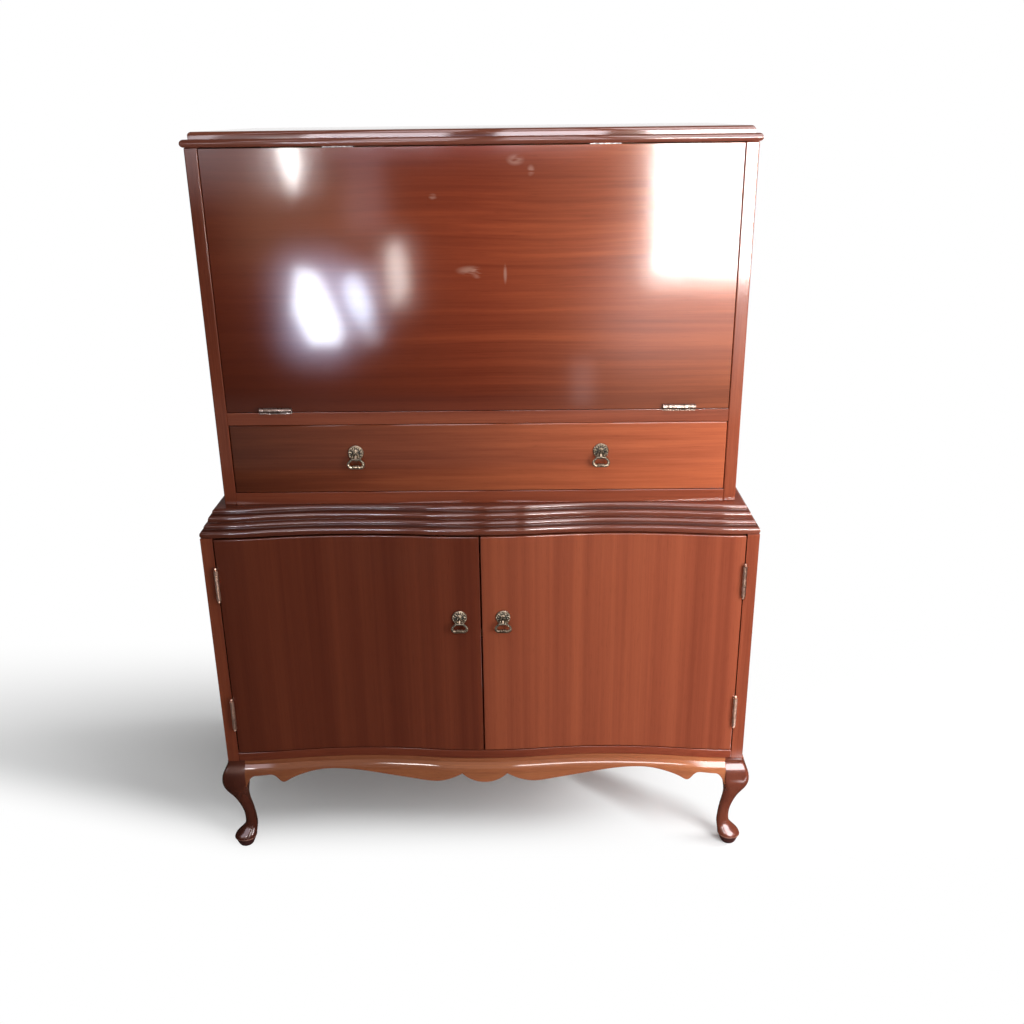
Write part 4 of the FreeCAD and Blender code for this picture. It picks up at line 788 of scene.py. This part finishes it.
# Knee: drop below the case, proud of the case, short of the post's inner face, corner radius.
KNEE = [
    (75, 2.6, 3.4, 12.0), (56, 11.2, 1.0, 13.0), (43, 13.8, 0.0, 12.0), (29, 12.4, 0.0, 9.0),
    (19, 8.8, 0.0, 6.0), (7, 1.6, 0.0, 3.5), (0, 1.2, 0.0, 3.0),
]
# Corner radius where a leg's face runs on into an apron, at heights in millimetres.
JOINT_LEVELS = (118, 130, 143, 150)
JOINT_CORNERS = (12, 8, 3, 0.7)
SOLE_RADIUS = 12.4
SOLE_TOP_RADIUS = 19.3


def leg_stations():
    """Every section of a leg from the sole up: height, inset, half width, corner radius."""
    base, post = BASE / MM, LEG_POST / MM
    rows = [(SOLE_HEIGHT + rise, inset, half, corner) for rise, inset, half, corner in FOOT]
    ankle, knee = rows[-1][0], base - KNEE[0][0]
    rows += [(ankle + share * (knee - ankle), inset, half, corner) for share, inset, half, corner in SHIN]
    for drop, proud, short, corner in KNEE:
        inner = post - short
        rows.append((base - drop, (inner - proud) / 2, (inner + proud) / 2, corner))
    return np.array(rows)


def leg(name, sign_x, sign_y):
    """A cabriole leg: rounded squares on the diagonal of the case corner, joined by a spline."""
    stations = leg_stations()
    z = np.linspace(stations[0, 0], stations[-1, 0], 110)
    inset, half, corner = (smooth_through(stations[:, 0], stations[:, k], z) for k in (1, 2, 3))
    full = np.minimum(corner, half - 0.3)
    run_on = np.interp(z, JOINT_LEVELS, JOINT_CORNERS)
    joint = np.minimum(full, np.where(z < JOINT_LEVELS[0], full, run_on))
    loops = []
    for quarter in range(4):
        corner = full if quarter in (0, 2) else joint
        turn = np.radians(np.linspace(0, 90, 13) + 90 * quarter)
        pivot = math.radians(45 + 90 * quarter)
        core = (half - corner) * math.sqrt(2)
        x = core[:, None] * math.cos(pivot) + corner[:, None] * np.cos(turn)
        y = core[:, None] * math.sin(pivot) + corner[:, None] * np.sin(turn)
        loops.append(np.stack([x, y], -1))
    ring = np.concatenate(loops, 1)
    x = sign_x * (HALF - inset[:, None] * MM + ring[..., 0] * MM)
    y = sign_y * (-FRONT - inset[:, None] * MM + ring[..., 1] * MM)
    points = np.stack([x, y, np.broadcast_to(z[:, None] * MM, x.shape)], -1)
    settle(loft(name + "_carved", points, LEG_WOOD, sharp_angle=50), name)


def sole(name, sign_x, sign_y):
    """The dark underside of a pad foot: a disc whose radius grows as a power of the height."""
    inset = FOOT[0][1]
    turn = np.radians(np.linspace(0, 360, 65)[:-1])
    share = np.linspace(0, 1, 12)
    grown = SOLE_RADIUS + (SOLE_TOP_RADIUS - SOLE_RADIUS) * share ** 0.8
    z = np.concatenate([[0.0, 0.0], 0.5 + (SOLE_HEIGHT - 0.5) * share, [SOLE_HEIGHT + 0.6]])
    r = np.concatenate([[0.6 * SOLE_RADIUS, SOLE_RADIUS - 0.5], grown, [SOLE_TOP_RADIUS]])
    x = sign_x * (HALF - inset * MM) + r[:, None] * np.cos(turn) * MM
    y = sign_y * (-FRONT - inset * MM) + r[:, None] * np.sin(turn) * MM
    points = np.stack([x, y, np.broadcast_to(z[:, None] * MM, x.shape)], -1)
    disc = loft(name + "_sole", points, SOLE_WOOD, sharp_angle=40)
    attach(disc, BODY_OF[name])


def legs():
    for depth, sign_y in (("front", -1), ("back", 1)):
        for side, sign_x in (("left", -1), ("right", 1)):
            name = "leg_" + depth + "_" + side
            leg(name, sign_x, sign_y)
            sole(name, sign_x, sign_y)


# ---- ring pulls, in millimetres about the plate's middle, x to the right and z up
PLATE_RADIUS = 12.5
PLATE_SEAT = 1.5
RING_DROP = 9.0
RING_STAND_OFF = 8.0
RING_WIRE = 2.0
RING_THIN = 1.9
RING_CORNERS = [(-6.5, 0.0), (6.5, 0.0), (20.0, -14.0), (-20.0, -14.0)]
RING_FILLETS = [2.5, 2.5, 5.5, 5.5]
KNOBS = (-3.6, 0.0, 3.6)
# Bosses of the mask: x and z of the middle, half width, half height, how proud.
# One off the middle stands for a pair.
BOSSES = (
    (0, 4.2, 3.6, 2.2, 1.6), (2.7, 3.6, 1.7, 0.7, 1.3), (2.6, 1.9, 1.1, 0.8, 1.4),
    (2.6, 2.9, 1.5, 0.35, -0.9), (1.5, -4.6, 1.3, 1.3, 1.5), (0, 0.4, 1.0, 3.4, 2.6),
    (0, -2.8, 1.7, 1.0, 1.6), (0, -7.6, 3.3, 3.0, 6.2),
)
# Its ridges and furrows, all in pairs: x and z of both ends, half width, how proud.
RIDGES = (
    (3.2, -0.8, 7.4, -8.6, 1.25, 2.6), (2.0, -2.2, 4.2, -7.0, 0.55, -1.3), (5.6, -1.6, 8.4, -6.0, 0.6, -1.2),
)


def bell(x, z, at_x, at_z, wide, tall, height):
    """A smooth boss: it falls off as e to the minus square of the distance, in its own widths."""
    return height * np.exp(-(((x - at_x) / wide) ** 2) - ((z - at_z) / tall) ** 2)


def roll_along(x, z, start, end, wide, height):
    """A rounded ridge: a bell over the distance from a straight run."""
    run = np.subtract(end, start)
    share = np.clip(((x - start[0]) * run[0] + (z - start[1]) * run[1]) / (run @ run), 0, 1)
    away = np.hypot(x - start[0] - share * run[0], z - start[1] - share * run[1])
    return height * np.exp(-((away / wide) ** 2))


def mask_height(x, z):
    """A lion's mask: rim, combed mane, brow, eyes, nose, curled cheeks and a muzzle that holds the ring."""
    r = np.hypot(x, z)
    around = np.arctan2(x, z)
    height = 1.6 + 1.5 * np.clip(1 - (r / 11.0) ** 2, 0, 1)
    height += 1.3 * np.exp(-(((r - 11.2) / 0.9) ** 2)) * (0.8 + 0.2 * np.cos(26 * around))
    mane = np.exp(-(((r - 8.3) / 1.7) ** 2))
    height += mane * (1.0 + 0.7 * np.cos(13 * around + 1.6 * np.sin(2 * around)))
    for at_x, at_z, wide, tall, proud in BOSSES:
        for middle in (-at_x, at_x) if at_x else (0,):
            height += bell(x, z, middle, at_z, wide, tall, proud)
    for x0, z0, x1, z1, wide, proud in RIDGES:
        for side in (-1, 1):
            height += roll_along(x, z, (side * x0, z0), (side * x1, z1), wide, proud)
    return height


def plate(name, x, face_y, z, node_name):
    """A round plate pressed into a lion's mask, worked out on rings about its middle.

    A point stands as proud as the mask's height there; the outline is a circle with a chin below.
    """
    rings, spokes = 56, 150
    around = np.linspace(0, 2 * np.pi, spokes, endpoint=False)
    share = np.linspace(0.0, 1.0, rings)[1:]
    chin = 1.4 * np.exp(-((np.minimum(np.abs(around - np.pi), np.pi) / 0.42) ** 2))
    reach = PLATE_RADIUS + chin
    r = share[:, None] * reach
    local_x, local_z = r * np.sin(around), r * np.cos(around)
    height = mask_height(local_x, local_z)
    smooth = height.mean(1, keepdims=True)
    rim_x, rim_z = local_x[-1:], local_z[-1:]
    local_x = np.concatenate([local_x, rim_x, rim_x * 0.98])
    local_z = np.concatenate([local_z, rim_z, rim_z * 0.98])
    proud = np.concatenate([height, np.zeros((1, spokes)), np.full((1, spokes), -PLATE_SEAT)])
    relief = np.clip(0.5 + 0.35 * (height - smooth), 0, 1)
    relief = np.concatenate([relief, np.full((2, spokes), 0.2)])
    points = np.stack([x + local_x * MM, face_y - proud * MM, z + local_z * MM], -1)
    settle(loft(name, points, OLD_BRASS, {"relief": relief}, 60), node_name)


def rounded_loop(corners, radii, steps=10):
    """A closed flat loop of straight runs with an arc of its own radius at each corner."""
    points = []
    count = len(corners)
    for index, here in enumerate(corners):
        before = corners[index - 1] - here
        after = corners[(index + 1) % count] - here
        before, after = before / np.linalg.norm(before), after / np.linalg.norm(after)
        half_turn = math.acos(float(before @ after)) / 2
        inward = (before + after) / np.linalg.norm(before + after)
        centre = here + inward * radii[index] / math.sin(half_turn)
        first = here + before * radii[index] / math.tan(half_turn) - centre
        last = here + after * radii[index] / math.tan(half_turn) - centre
        for share in np.linspace(0, 1, steps + 1):
            ray = first * (1 - share) + last * share
            points.append(centre + ray / np.linalg.norm(ray) * radii[index])
    return np.array(points)


def evenly(points, count):
    """The closed loop cut into runs of one length."""
    closed = np.vstack([points, points[:1]])
    run = np.concatenate([[0], np.cumsum(np.linalg.norm(np.diff(closed, axis=0), axis=1))])
    at = np.linspace(0, run[-1], count, endpoint=False)
    return np.stack([np.interp(at, run, closed[:, k]) for k in range(2)], -1)


def ring(name, x, face_y, z, node_name):
    """A drop ring: plain wire above, swelling to a leafy foot with three knobs at its lowest point."""
    line = evenly(rounded_loop(np.array(RING_CORNERS), RING_FILLETS), 240)
    ahead, behind = np.roll(line, -1, 0), np.roll(line, 1, 0)
    tangent = (ahead - behind) / np.linalg.norm(ahead - behind, axis=1, keepdims=True)
    normal = np.stack([-tangent[:, 1], tangent[:, 0]], -1)
    foot = np.clip((-line[:, 1] - 4.0) / 9.0, 0, 1) ** 1.2
    leaf = np.abs(np.cos(np.arctan2(line[:, 0], -line[:, 1] - 4.0) * 8.0))
    around = np.linspace(0, 2 * np.pi, 24, endpoint=False)
    outward = np.clip(-np.cos(around), 0, 1)[None, :]
    radius = RING_THIN + 0.6 * foot[:, None] + 0.5 * (foot * leaf)[:, None] * (0.35 + 0.65 * outward)
    knobs = sum(np.exp(-(((line[:, 0] - at) / 1.3) ** 2)) for at in KNOBS) * (foot > 0.9)
    radius = radius + 1.4 * knobs[:, None] * outward
    across = radius * np.cos(around)
    local_x = line[:, :1] + normal[:, :1] * across
    local_z = line[:, 1:] + normal[:, 1:] * across
    local_y = radius * np.sin(around)
    relief = np.clip((radius - RING_THIN) / 1.3, 0, 1) * 0.5 + 0.25
    ring_y = face_y - (RING_STAND_OFF + local_y) * MM
    points = np.stack([x + local_x * MM, ring_y, z + (local_z - RING_DROP) * MM], -1)
    mesh = closed_mesh(name, points, grid_faces(*points.shape[:2], True), {"relief": relief})
    settle(add_object(name, mesh, OLD_BRASS, 70), node_name)


def pulls():
    """The four pulls, each where its CAD ring hangs."""
    for side in ("left", "right"):
        for piece, ring_node, plate_node in (
            ("drawer_{}_" + side, "drawer_ring_" + side, "drawer_pull_plates"),
            (side + "_door_{}", side + "_door_ring", side + "_door_pull_plate"),
        ):
            low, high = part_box(ring_node)
            middle = (low.x + high.x) / 2
            on_door = plate_node != "drawer_pull_plates"
            face_y = float(serpentine_y(np.array([middle]), 0)[0]) if on_door else UPPER_FRONT
            level = high.z + (RING_DROP - RING_WIRE) * MM
            plate(piece.format("plate"), middle, face_y, level, plate_node)
            ring(piece.format("drop"), middle, face_y, level, ring_node)


# ---- the cabinet
EASED = UPRIGHT + (
    "bar_floor", "drawer_board", "bar_shelf", "cupboard_shelf", "apron_back", "flap_panel", "drawer_front",
    "drawer_side_left", "drawer_side_right", "drawer_back",
)


def cabinet():
    """The shaped pieces, then the finishes of the CAD nodes that stay as they are."""
    for name in EASED:
        eased_board(name)
    curved_boards()
    mouldings()
    aprons()
    legs()
    pulls()
    for name in NODES:
        if name not in DRESSED:
            for material_slot in NODES[name].material_slots:
                material_slot.material = finish_of(name)


# ---- studio
CAMERA_PLACE = Vector((0.0697926, -1.8031794, 1.2661603))
CAMERA_YAW = 0.009798
CAMERA_PITCH = 0.366681
CAMERA_ROLL = -0.012061
SENSOR = 36.0
LENS = SENSOR * 1040 / 1024
CLIP = (0.05, 200)


def camera():
    """A camera that looks down at the cabinet's front from a little right of its middle."""
    yaw, pitch, roll = CAMERA_YAW, CAMERA_PITCH, CAMERA_ROLL
    level = Vector((math.cos(yaw), math.sin(yaw), 0))
    rise = Vector((-math.sin(yaw) * math.sin(pitch), math.cos(yaw) * math.sin(pitch), math.cos(pitch)))
    right = level * math.cos(roll) + rise * math.sin(roll)
    up = rise * math.cos(roll) - level * math.sin(roll)
    turn = Matrix((right, up, right.cross(up))).transposed().to_4x4()
    data = bpy.data.cameras.new("view_camera")
    data.lens = LENS
    data.sensor_width = SENSOR
    data.clip_start, data.clip_end = CLIP
    eye = bpy.data.objects.new("view_camera", data)
    eye.matrix_world = Matrix.Translation(CAMERA_PLACE) @ turn
    bpy.context.scene.collection.objects.link(eye)
    bpy.context.scene.camera = eye


def flat_panel(name, corners, material):
    mesh = bpy.data.meshes.new(name)
    mesh.from_pydata(corners, [], [list(range(len(corners)))])
    mesh.materials.append(material)
    obj = bpy.data.objects.new(name, mesh)
    bpy.context.scene.collection.objects.link(obj)
    return obj


def mirrored_card(name, corners, material):
    """A flat panel that only polish and metal mirror."""
    card = flat_panel(name, corners, material)
    card.visible_camera = False
    card.visible_diffuse = False
    card.visible_shadow = False
    card.visible_transmission = False


def rectangle(low, high):
    return [low, (high[0], low[1]), high, (low[0], high[1])]


def emission(tree, colour, strength):
    return node(tree, "ShaderNodeEmission", Color=(*colour, 1), Strength=strength).outputs[0]


def bare_material(name):
    """A material with an output and nothing before it."""
    material = bpy.data.materials.new(name)
    material.use_nodes = True
    tree = material.node_tree
    tree.nodes.clear()
    return material, tree, tree.nodes.new("ShaderNodeOutputMaterial")


def glow(name, colour, strength):
    material, tree, out = bare_material(name)
    fill(tree, out, Surface=emission(tree, colour, strength))
    return material


def soft_glow(name, place, middle, half, reach, colour, strength):
    """A card whose light is even over a rectangle and dies away round it, and which hides nothing behind it.

    place turns two numbers on the card into a point of the room.
    """
    material, tree, out = bare_material(name)
    inner = Vector(place(*half)) - Vector(place(0, 0))
    thick = Vector(1.0 if abs(value) < 1e-9 else value for value in inner)
    away = reckon_place(tree, "SUBTRACT", place_of(tree), place(*middle))
    away = reckon_place(tree, "SUBTRACT", reckon_place(tree, "ABSOLUTE", away), thick)
    away = reckon_place(tree, "LENGTH", reckon_place(tree, "MAXIMUM", away, (0, 0, 0)))
    fall = graded(tree, away, 0.0, reach, 1.0, 0.0)
    level = reckon(tree, "MULTIPLY", reckon(tree, "POWER", fall, 2.0), strength)
    both = tree.nodes.new("ShaderNodeAddShader")
    feed(tree, both.inputs[0], emission(tree, colour, level))
    feed(tree, both.inputs[1], tree.nodes.new("ShaderNodeBsdfTransparent").outputs[0])
    fill(tree, out, Surface=both.outputs[0])
    low = [at - wide - reach for at, wide in zip(middle, half)]
    high = [at + wide + reach for at, wide in zip(middle, half)]
    mirrored_card(name, [place(*corner) for corner in rectangle(low, high)], material)


# Windows behind the camera, as x and z of their corners, colour and strength.
WINDOW_PLANE = -3.0
WINDOWS = {
    "window_right": (
        [(0.64, 0.64), (1.25, 0.60), (1.25, 1.45), (0.62, 1.45)],
        (1.0, 0.98, 0.98), 27,
    ),
    "window_left": (
        [(-0.83, 0.34), (-0.71, 0.34), (-0.69, 0.40), (-0.78, 0.65), (-0.87, 0.67), (-0.90, 0.50)],
        (0.84, 0.90, 1.0), 34,
    ),
    "window_middle": (
        [(-0.58, 0.43), (-0.56, 0.47), (-0.58, 0.60), (-0.64, 0.64), (-0.675, 0.60), (-0.65, 0.47)],
        (0.72, 0.82, 1.0), 26,
    ),
    "window_slim": (
        [(-0.47, 0.50), (-0.41, 0.57), (-0.41, 0.70), (-0.44, 0.77), (-0.48, 0.74)],
        (1.0, 0.93, 0.88), 15,
    ),
    "window_corner": ([(-0.86, 0.96), (-0.815, 1.06), (-0.82, 1.17), (-0.91, 1.17)], (1.0, 0.98, 0.95), 42),
}
# Tall lights on the same wall, above what the flap mirrors: x at the foot, x at the head, strength.
WALL_LIGHTS = {
    "wall_light_far_left": ((-1.28, -1.17), (-1.20, -1.08), 7),
    "wall_light_left": ((-0.80, -0.22), (-0.76, -0.20), 14),
    "wall_light_middle": ((-0.02, 0.42), (0.0, 0.44), 17),
    "wall_light_right": ((0.60, 1.40), (0.56, 1.45), 24),
}
WALL_LIGHT_FOOT, WALL_LIGHT_HEAD = 1.17, 1.75
WALL_LIGHT_COLOUR = (1.0, 0.91, 0.98)
# Soft glows over the windows: x and z of the middle, half sizes, how far it fades, colour, strength.
GLOWS = {
    "glow_right_edge": ((0.98, 1.05), (0.33, 0.42), 0.14, (1.0, 0.92, 0.88), 16.0),
    "glow_right": ((0.98, 1.08), (0.33, 0.40), 0.32, (1.0, 0.90, 0.80), 4.0),
    "glow_right_below": ((0.97, 0.52), (0.34, 0.06), 0.50, (1.0, 0.86, 0.90), 3.0),
    "glow_right_wide": ((0.98, 0.75), (0.33, 0.45), 0.95, (1.0, 0.82, 0.66), 1.3),
    "glow_left": ((-0.80, 0.50), (0.04, 0.11), 0.25, (0.62, 0.68, 1.0), 9.0),
    "glow_middle": ((-0.62, 0.53), (0.03, 0.07), 0.17, (0.66, 0.74, 1.0), 8.0),
    "glow_slim": ((-0.445, 0.64), (0.01, 0.10), 0.14, (1.0, 0.90, 0.88), 4.5),
    "glow_tail": ((-0.575, 0.40), (0.02, 0.02), 0.07, (0.8, 0.85, 1.0), 7.0),
    "glow_corner": ((-0.86, 1.12), (0.03, 0.06), 0.20, (1.0, 0.95, 0.96), 5.0),
    "glow_column": ((-0.56, 1.0), (0.03, 0.14), 0.14, (0.95, 0.80, 1.0), 1.3),
    "glow_brown": ((-0.80, 0.86), (0.15, 0.06), 0.42, (1.0, 0.60, 0.38), 1.5),
    "glow_top": ((-0.22, 1.19), (0.28, 0.02), 0.05, (0.6, 0.65, 1.0), 2.5),
    "glow_far_left": ((-1.10, 1.22), (0.22, 0.08), 0.36, (1.0, 0.90, 0.95), 2.2),
    "glow_post": ((0.34, 0.17), (0.015, 0.07), 0.09, (1.0, 0.85, 0.88), 1.6),
}
GLOW_PLANE = WINDOW_PLANE + 0.02
# Ceiling panels, as x and y of their corners: wedges that spread away from the cabinet.
PANEL_LEVEL = 2.6
CEILING_PANELS = {
    "panel_far_left": (
        [(-1.11, -2.56), (-0.99, -2.56), (-0.42, -0.43), (-0.48, -0.43)],
        (1.0, 0.88, 0.93), 5,
    ),
    "panel_left": ([(-0.68, -2.56), (-0.16, -2.56), (-0.04, -0.43), (-0.28, -0.43)], (1.0, 0.86, 0.92), 6),
    "panel_middle": ([(0.0, -2.56), (0.40, -2.56), (0.22, -0.43), (0.04, -0.43)], (1.0, 0.86, 0.90), 6),
    "panel_right": ([(0.52, -2.56), (1.50, -2.56), (0.80, -0.43), (0.28, -0.43)], (1.0, 0.92, 0.94), 10),
    "sheen_left": ([(-2.4, -2.2), (-1.15, -2.2), (-1.0, 0.9), (-2.4, 0.9)], (1.0, 0.84, 0.88), 1.9),
    "sheen_right": ([(1.0, 0.9), (1.6, -2.2), (2.6, -2.2), (2.6, 0.9)], (1.0, 0.90, 0.94), 2.6),
}
# A level shade in front of the doors, dark above. It keeps the ceiling out of the apron's roll.
SHADE_LEVEL = 0.45
CARD_GAP = 0.02 * MM
SHADE_REACH = (-1.40, 1.40)
SHADE_DEPTH = (-1.00, -0.2395)
VALANCE_FOOT = 0.03
# Lights under the shade, the brightest nearest to it: x and y of the middle, half sizes, how far it fades,
# colour, strength.
UNDER_SHADE = {
    "under_right": ((0.60, -0.58), (0.18, 0.25), 0.085, (1.0, 0.94, 0.98), 20.0),
    "under_all": ((0.0, -0.62), (1.2, 0.30), 0.06, (1.0, 0.72, 0.58), 0.7),
    "under_feet": ((-0.64, -0.42), (0.20, 0.12), 0.055, (0.96, 0.86, 1.0), 4.0),
    "under_spot_end": ((-0.50, -0.56), (0.012, 0.04), 0.02, (1.0, 0.96, 0.96), 26.0),
    "under_spot_left": ((-0.226, -0.56), (0.018, 0.045), 0.03, (1.0, 0.97, 0.97), 26.0),
    "under_line_right": ((0.22, -0.57), (0.10, 0.05), 0.05, (1.0, 0.95, 0.96), 17.0),
    "under_right_wide": ((0.90, -0.55), (0.35, 0.20), 0.10, (1.0, 0.86, 0.84), 2.2),
}
# Bright patch of floor near the right leg, in the same terms.
FLOOR_PATCH = ((0.66, -0.45), (0.13, 0.03), 0.06, (1.0, 0.93, 0.96), 9.0)
WORLD_LIGHT = 0.18
FLOOR_REACH = 40.0


def background_mask(tree):
    """One for rays that show the background: seen, mirrored or through glass."""
    path = tree.nodes.new("ShaderNodeLightPath").outputs
    seen = reckon(tree, "MAXIMUM", path["Is Camera Ray"], path["Is Glossy Ray"])
    return reckon(tree, "MAXIMUM", seen, path["Is Transmission Ray"])


def either(tree, share, low, high, out):
    """The output shows one shader, and another by a share of it."""
    choice = tree.nodes.new("ShaderNodeMixShader")
    for socket, value in zip(choice.inputs, (share, low, high)):
        feed(tree, socket, value)
    fill(tree, out, Surface=choice.outputs[0])


def world():
    sky = bpy.data.worlds.new("studio")
    sky.use_nodes = True
    tree = sky.node_tree
    tree.nodes.clear()
    seen = node(tree, "ShaderNodeBackground", Color=(1, 1, 1, 1), Strength=1.0)
    lighting = node(tree, "ShaderNodeBackground", Color=(1.0, 0.985, 0.97, 1), Strength=WORLD_LIGHT)
    out = tree.nodes.new("ShaderNodeOutputWorld")
    either(tree, background_mask(tree), lighting.outputs[0], seen.outputs[0], out)
    bpy.context.scene.world = sky


# How the floor's shadow runs out into white: places between which it fades, and how much of it goes.
SHADOW_FRONT = (-0.10, -0.27)
SHADOW_SLANT = 0.3
SHADOW_BACK = (0.08, 0.60)
SHADOW_LEFT = (-0.45, -1.45)
SHADOW_LEFT_KEPT = 0.42
SHADOW_RIGHT = (0.05, 0.42)
SHADOW_RIGHT_KEPT = 0.08
SHADOW_LIFT = 0.09
# A band of shadow that runs back and left from the right front foot: slope, place, half width, fade, share.
WEDGE = (0.8, 0.144, 0.01, 0.11, 1.0)
# Where the band grows to its full strength, along X and along Y.
WEDGE_ALONG_X = (-0.05, 0.2)
WEDGE_ALONG_Y = (-0.30, -0.18)


def floor():
    """A pale floor that keeps the cabinet's shadow and runs out into plain white."""
    material, tree, shader = new_material("floor_pale")
    fill(tree, shader, Base_Color=(0.950, 0.970, 0.975, 1), Roughness=0.9, Specular_IOR_Level=0.0)
    x, y = axis_of(tree, "X"), axis_of(tree, "Y")
    past_left = reckon(tree, "MINIMUM", reckon(tree, "ADD", x, -SHADOW_LEFT[0]), 0.0)
    slanted = reckon(tree, "MULTIPLY_ADD", past_left, SHADOW_SLANT, y)
    kept = 1 - SHADOW_LIFT
    for along, places, left_over in (
        (slanted, SHADOW_FRONT, 0.0),
        (y, SHADOW_BACK, 0.0),
        (x, SHADOW_LEFT, SHADOW_LEFT_KEPT),
        (x, SHADOW_RIGHT, SHADOW_RIGHT_KEPT),
    ):
        ends = (1.0, left_over) if places[0] < places[1] else (left_over, 1.0)
        kept = reckon(tree, "MULTIPLY", graded(tree, along, *sorted(places), *ends), kept)
    slope, place, wide, fade, most = WEDGE
    off = reckon(tree, "ADD", reckon(tree, "MULTIPLY_ADD", x, slope, y), -place)
    band = graded(tree, reckon(tree, "ABSOLUTE", off), wide, fade, most, 0.0)
    for along, places in ((x, WEDGE_ALONG_X), (y, WEDGE_ALONG_Y)):
        band = reckon(tree, "MULTIPLY", band, graded(tree, along, *places, 0.0, 1.0))
    kept = reckon(tree, "MAXIMUM", kept, band)
    white_share = reckon(tree, "MULTIPLY", reckon(tree, "SUBTRACT", 1.0, kept), background_mask(tree))
    white = emission(tree, (1, 1, 1), 1.0)
    either(tree, white_share, shader.outputs[0], white, tree.nodes["Material Output"])
    reach = FLOOR_REACH
    corners = [(x, y, 0) for x, y in rectangle((-reach, -reach), (reach, reach))]
    flat_panel("floor", corners, material)


# Lamps: place, what they are aimed at, size, power.
SOFTBOXES = {
    "softbox_key": ((1.0, -1.05, 0.85), (0.1, -0.2, 0.7), (0.6, 0.9), 16),
    "softbox_right": ((2.8, 0.2, 1.7), (0, 0, 0.4), (1.2, 1.6), 64),
    "softbox_top": ((0.3, -1.2, 3.0), (0, 0, 0.6), (2.0, 1.6), 27),
}


def softbox(name, place, target, size, power):
    data = bpy.data.lights.new(name, "AREA")
    data.shape = "RECTANGLE"
    data.size, data.size_y = size
    data.energy = power
    lamp = bpy.data.objects.new(name, data)
    aim = Vector(target) - Vector(place)
    lamp.matrix_world = Matrix.Translation(place) @ aim.to_track_quat("-Z", "Y").to_matrix().to_4x4()
    bpy.context.scene.collection.objects.link(lamp)
    lamp.visible_camera = False
    lamp.visible_glossy = False


# A dark room round the studio, which only polish and metal mirror.
ROOM_HALF = 3.4
ROOM_HEIGHT = 3.2
WALL_TONE = (0.035, 0.030, 0.028)
FLOOR_TONE = (0.045, 0.030, 0.024)
FAR_FLOOR_TONE = (0.26, 0.22, 0.20)
FAR_FLOOR = -1.16
BACK_WALL_TONE = (1.0, 1.0, 1.0)
BACK_WALL_PALE = 1.55
BACK_WALL_DIM = (0.30, 0.22, 0.21)
CARD_LEVEL = 0.5 * MM


def upright_card(name, start, end, low, high, material):
    """A card that stands on the line from one floor point to another."""
    mirrored_card(name, [(*start, low), (*end, low), (*end, high), (*start, high)], material)


def level_card(name, low, high, level, material):
    mirrored_card(name, [(x, y, level) for x, y in rectangle(low, high)], material)


def dark_room():
    """Cards that keep the white studio out of the gloss: walls, floor and ceiling, never seen themselves."""
    half, height = ROOM_HALF, ROOM_HEIGHT
    wall = glow("card_wall", WALL_TONE, 1.0)
    left_front, right_front = (-half, -half), (half, -half)
    left_back, right_back = (-half, half), (half, half)
    pale = glow("pale_wall", BACK_WALL_TONE, 1.0)
    dim = glow("dim_wall", BACK_WALL_DIM, 1.0)
    upright_card("card_front", left_front, right_front, 0, height, wall)
    upright_card("card_left", left_front, left_back, 0, height, wall)
    upright_card("card_right", right_back, right_front, 0, height, wall)
    upright_card("card_back_low", right_back, left_back, 0, BACK_WALL_PALE, pale)
    upright_card("card_back_high", right_back, left_back, BACK_WALL_PALE, height, dim)
    near, far = glow("card_floor", FLOOR_TONE, 1.0), glow("card_far_floor", FAR_FLOOR_TONE, 1.0)
    level_card("card_ceiling", (-half, half), right_front, height, wall)
    level_card("card_floor", (-half, FAR_FLOOR), right_back, CARD_LEVEL, near)
    level_card("card_far_floor", left_front, (half, FAR_FLOOR), CARD_LEVEL, far)


def lights():
    """Bright cards and soft glows for the polish to mirror, the shade with its own lights, and the lamps."""
    for name, (corners, colour, strength) in WINDOWS.items():
        mirrored_card(name, [(x, WINDOW_PLANE, z) for x, z in corners], glow(name, colour, strength))
    for index, (name, values) in enumerate(GLOWS.items()):
        depth = GLOW_PLANE + index * MM
        soft_glow(name, lambda x, z, depth=depth: (x, depth, z), *values)
    soft_glow("floor_patch", lambda x, y: (x, y, 2 * CARD_LEVEL), *FLOOR_PATCH)
    low, high = WALL_LIGHT_FOOT, WALL_LIGHT_HEAD
    for name, (foot, head, strength) in WALL_LIGHTS.items():
        corners = [(foot[0], low), (foot[1], low), (head[1], high), (head[0], high)]
        panel = [(x, WINDOW_PLANE, z) for x, z in corners]
        mirrored_card(name, panel, glow(name, WALL_LIGHT_COLOUR, strength))
    (x0, x1), (y0, y1) = SHADE_REACH, SHADE_DEPTH
    dark = glow("shade", FLOOR_TONE, 1.0)
    level_card("shade", (x0, y0), (x1, y1), SHADE_LEVEL, dark)
    upright_card("valance", (x0, y0), (x1, y0), VALANCE_FOOT, SHADE_LEVEL, dark)
    for index, (name, values) in enumerate(UNDER_SHADE.items()):
        level = SHADE_LEVEL - (index + 1) * CARD_GAP
        soft_glow(name, lambda x, y, level=level: (x, y, level), *values)
    for name, (corners, colour, strength) in CEILING_PANELS.items():
        mirrored_card(name, [(x, y, PANEL_LEVEL) for x, y in corners], glow(name, colour, strength))
    for name, values in SOFTBOXES.items():
        softbox(name, *values)


cabinet()
camera()
world()
floor()
dark_room()
lights()
bpy.context.scene.view_settings.view_transform = "Standard"
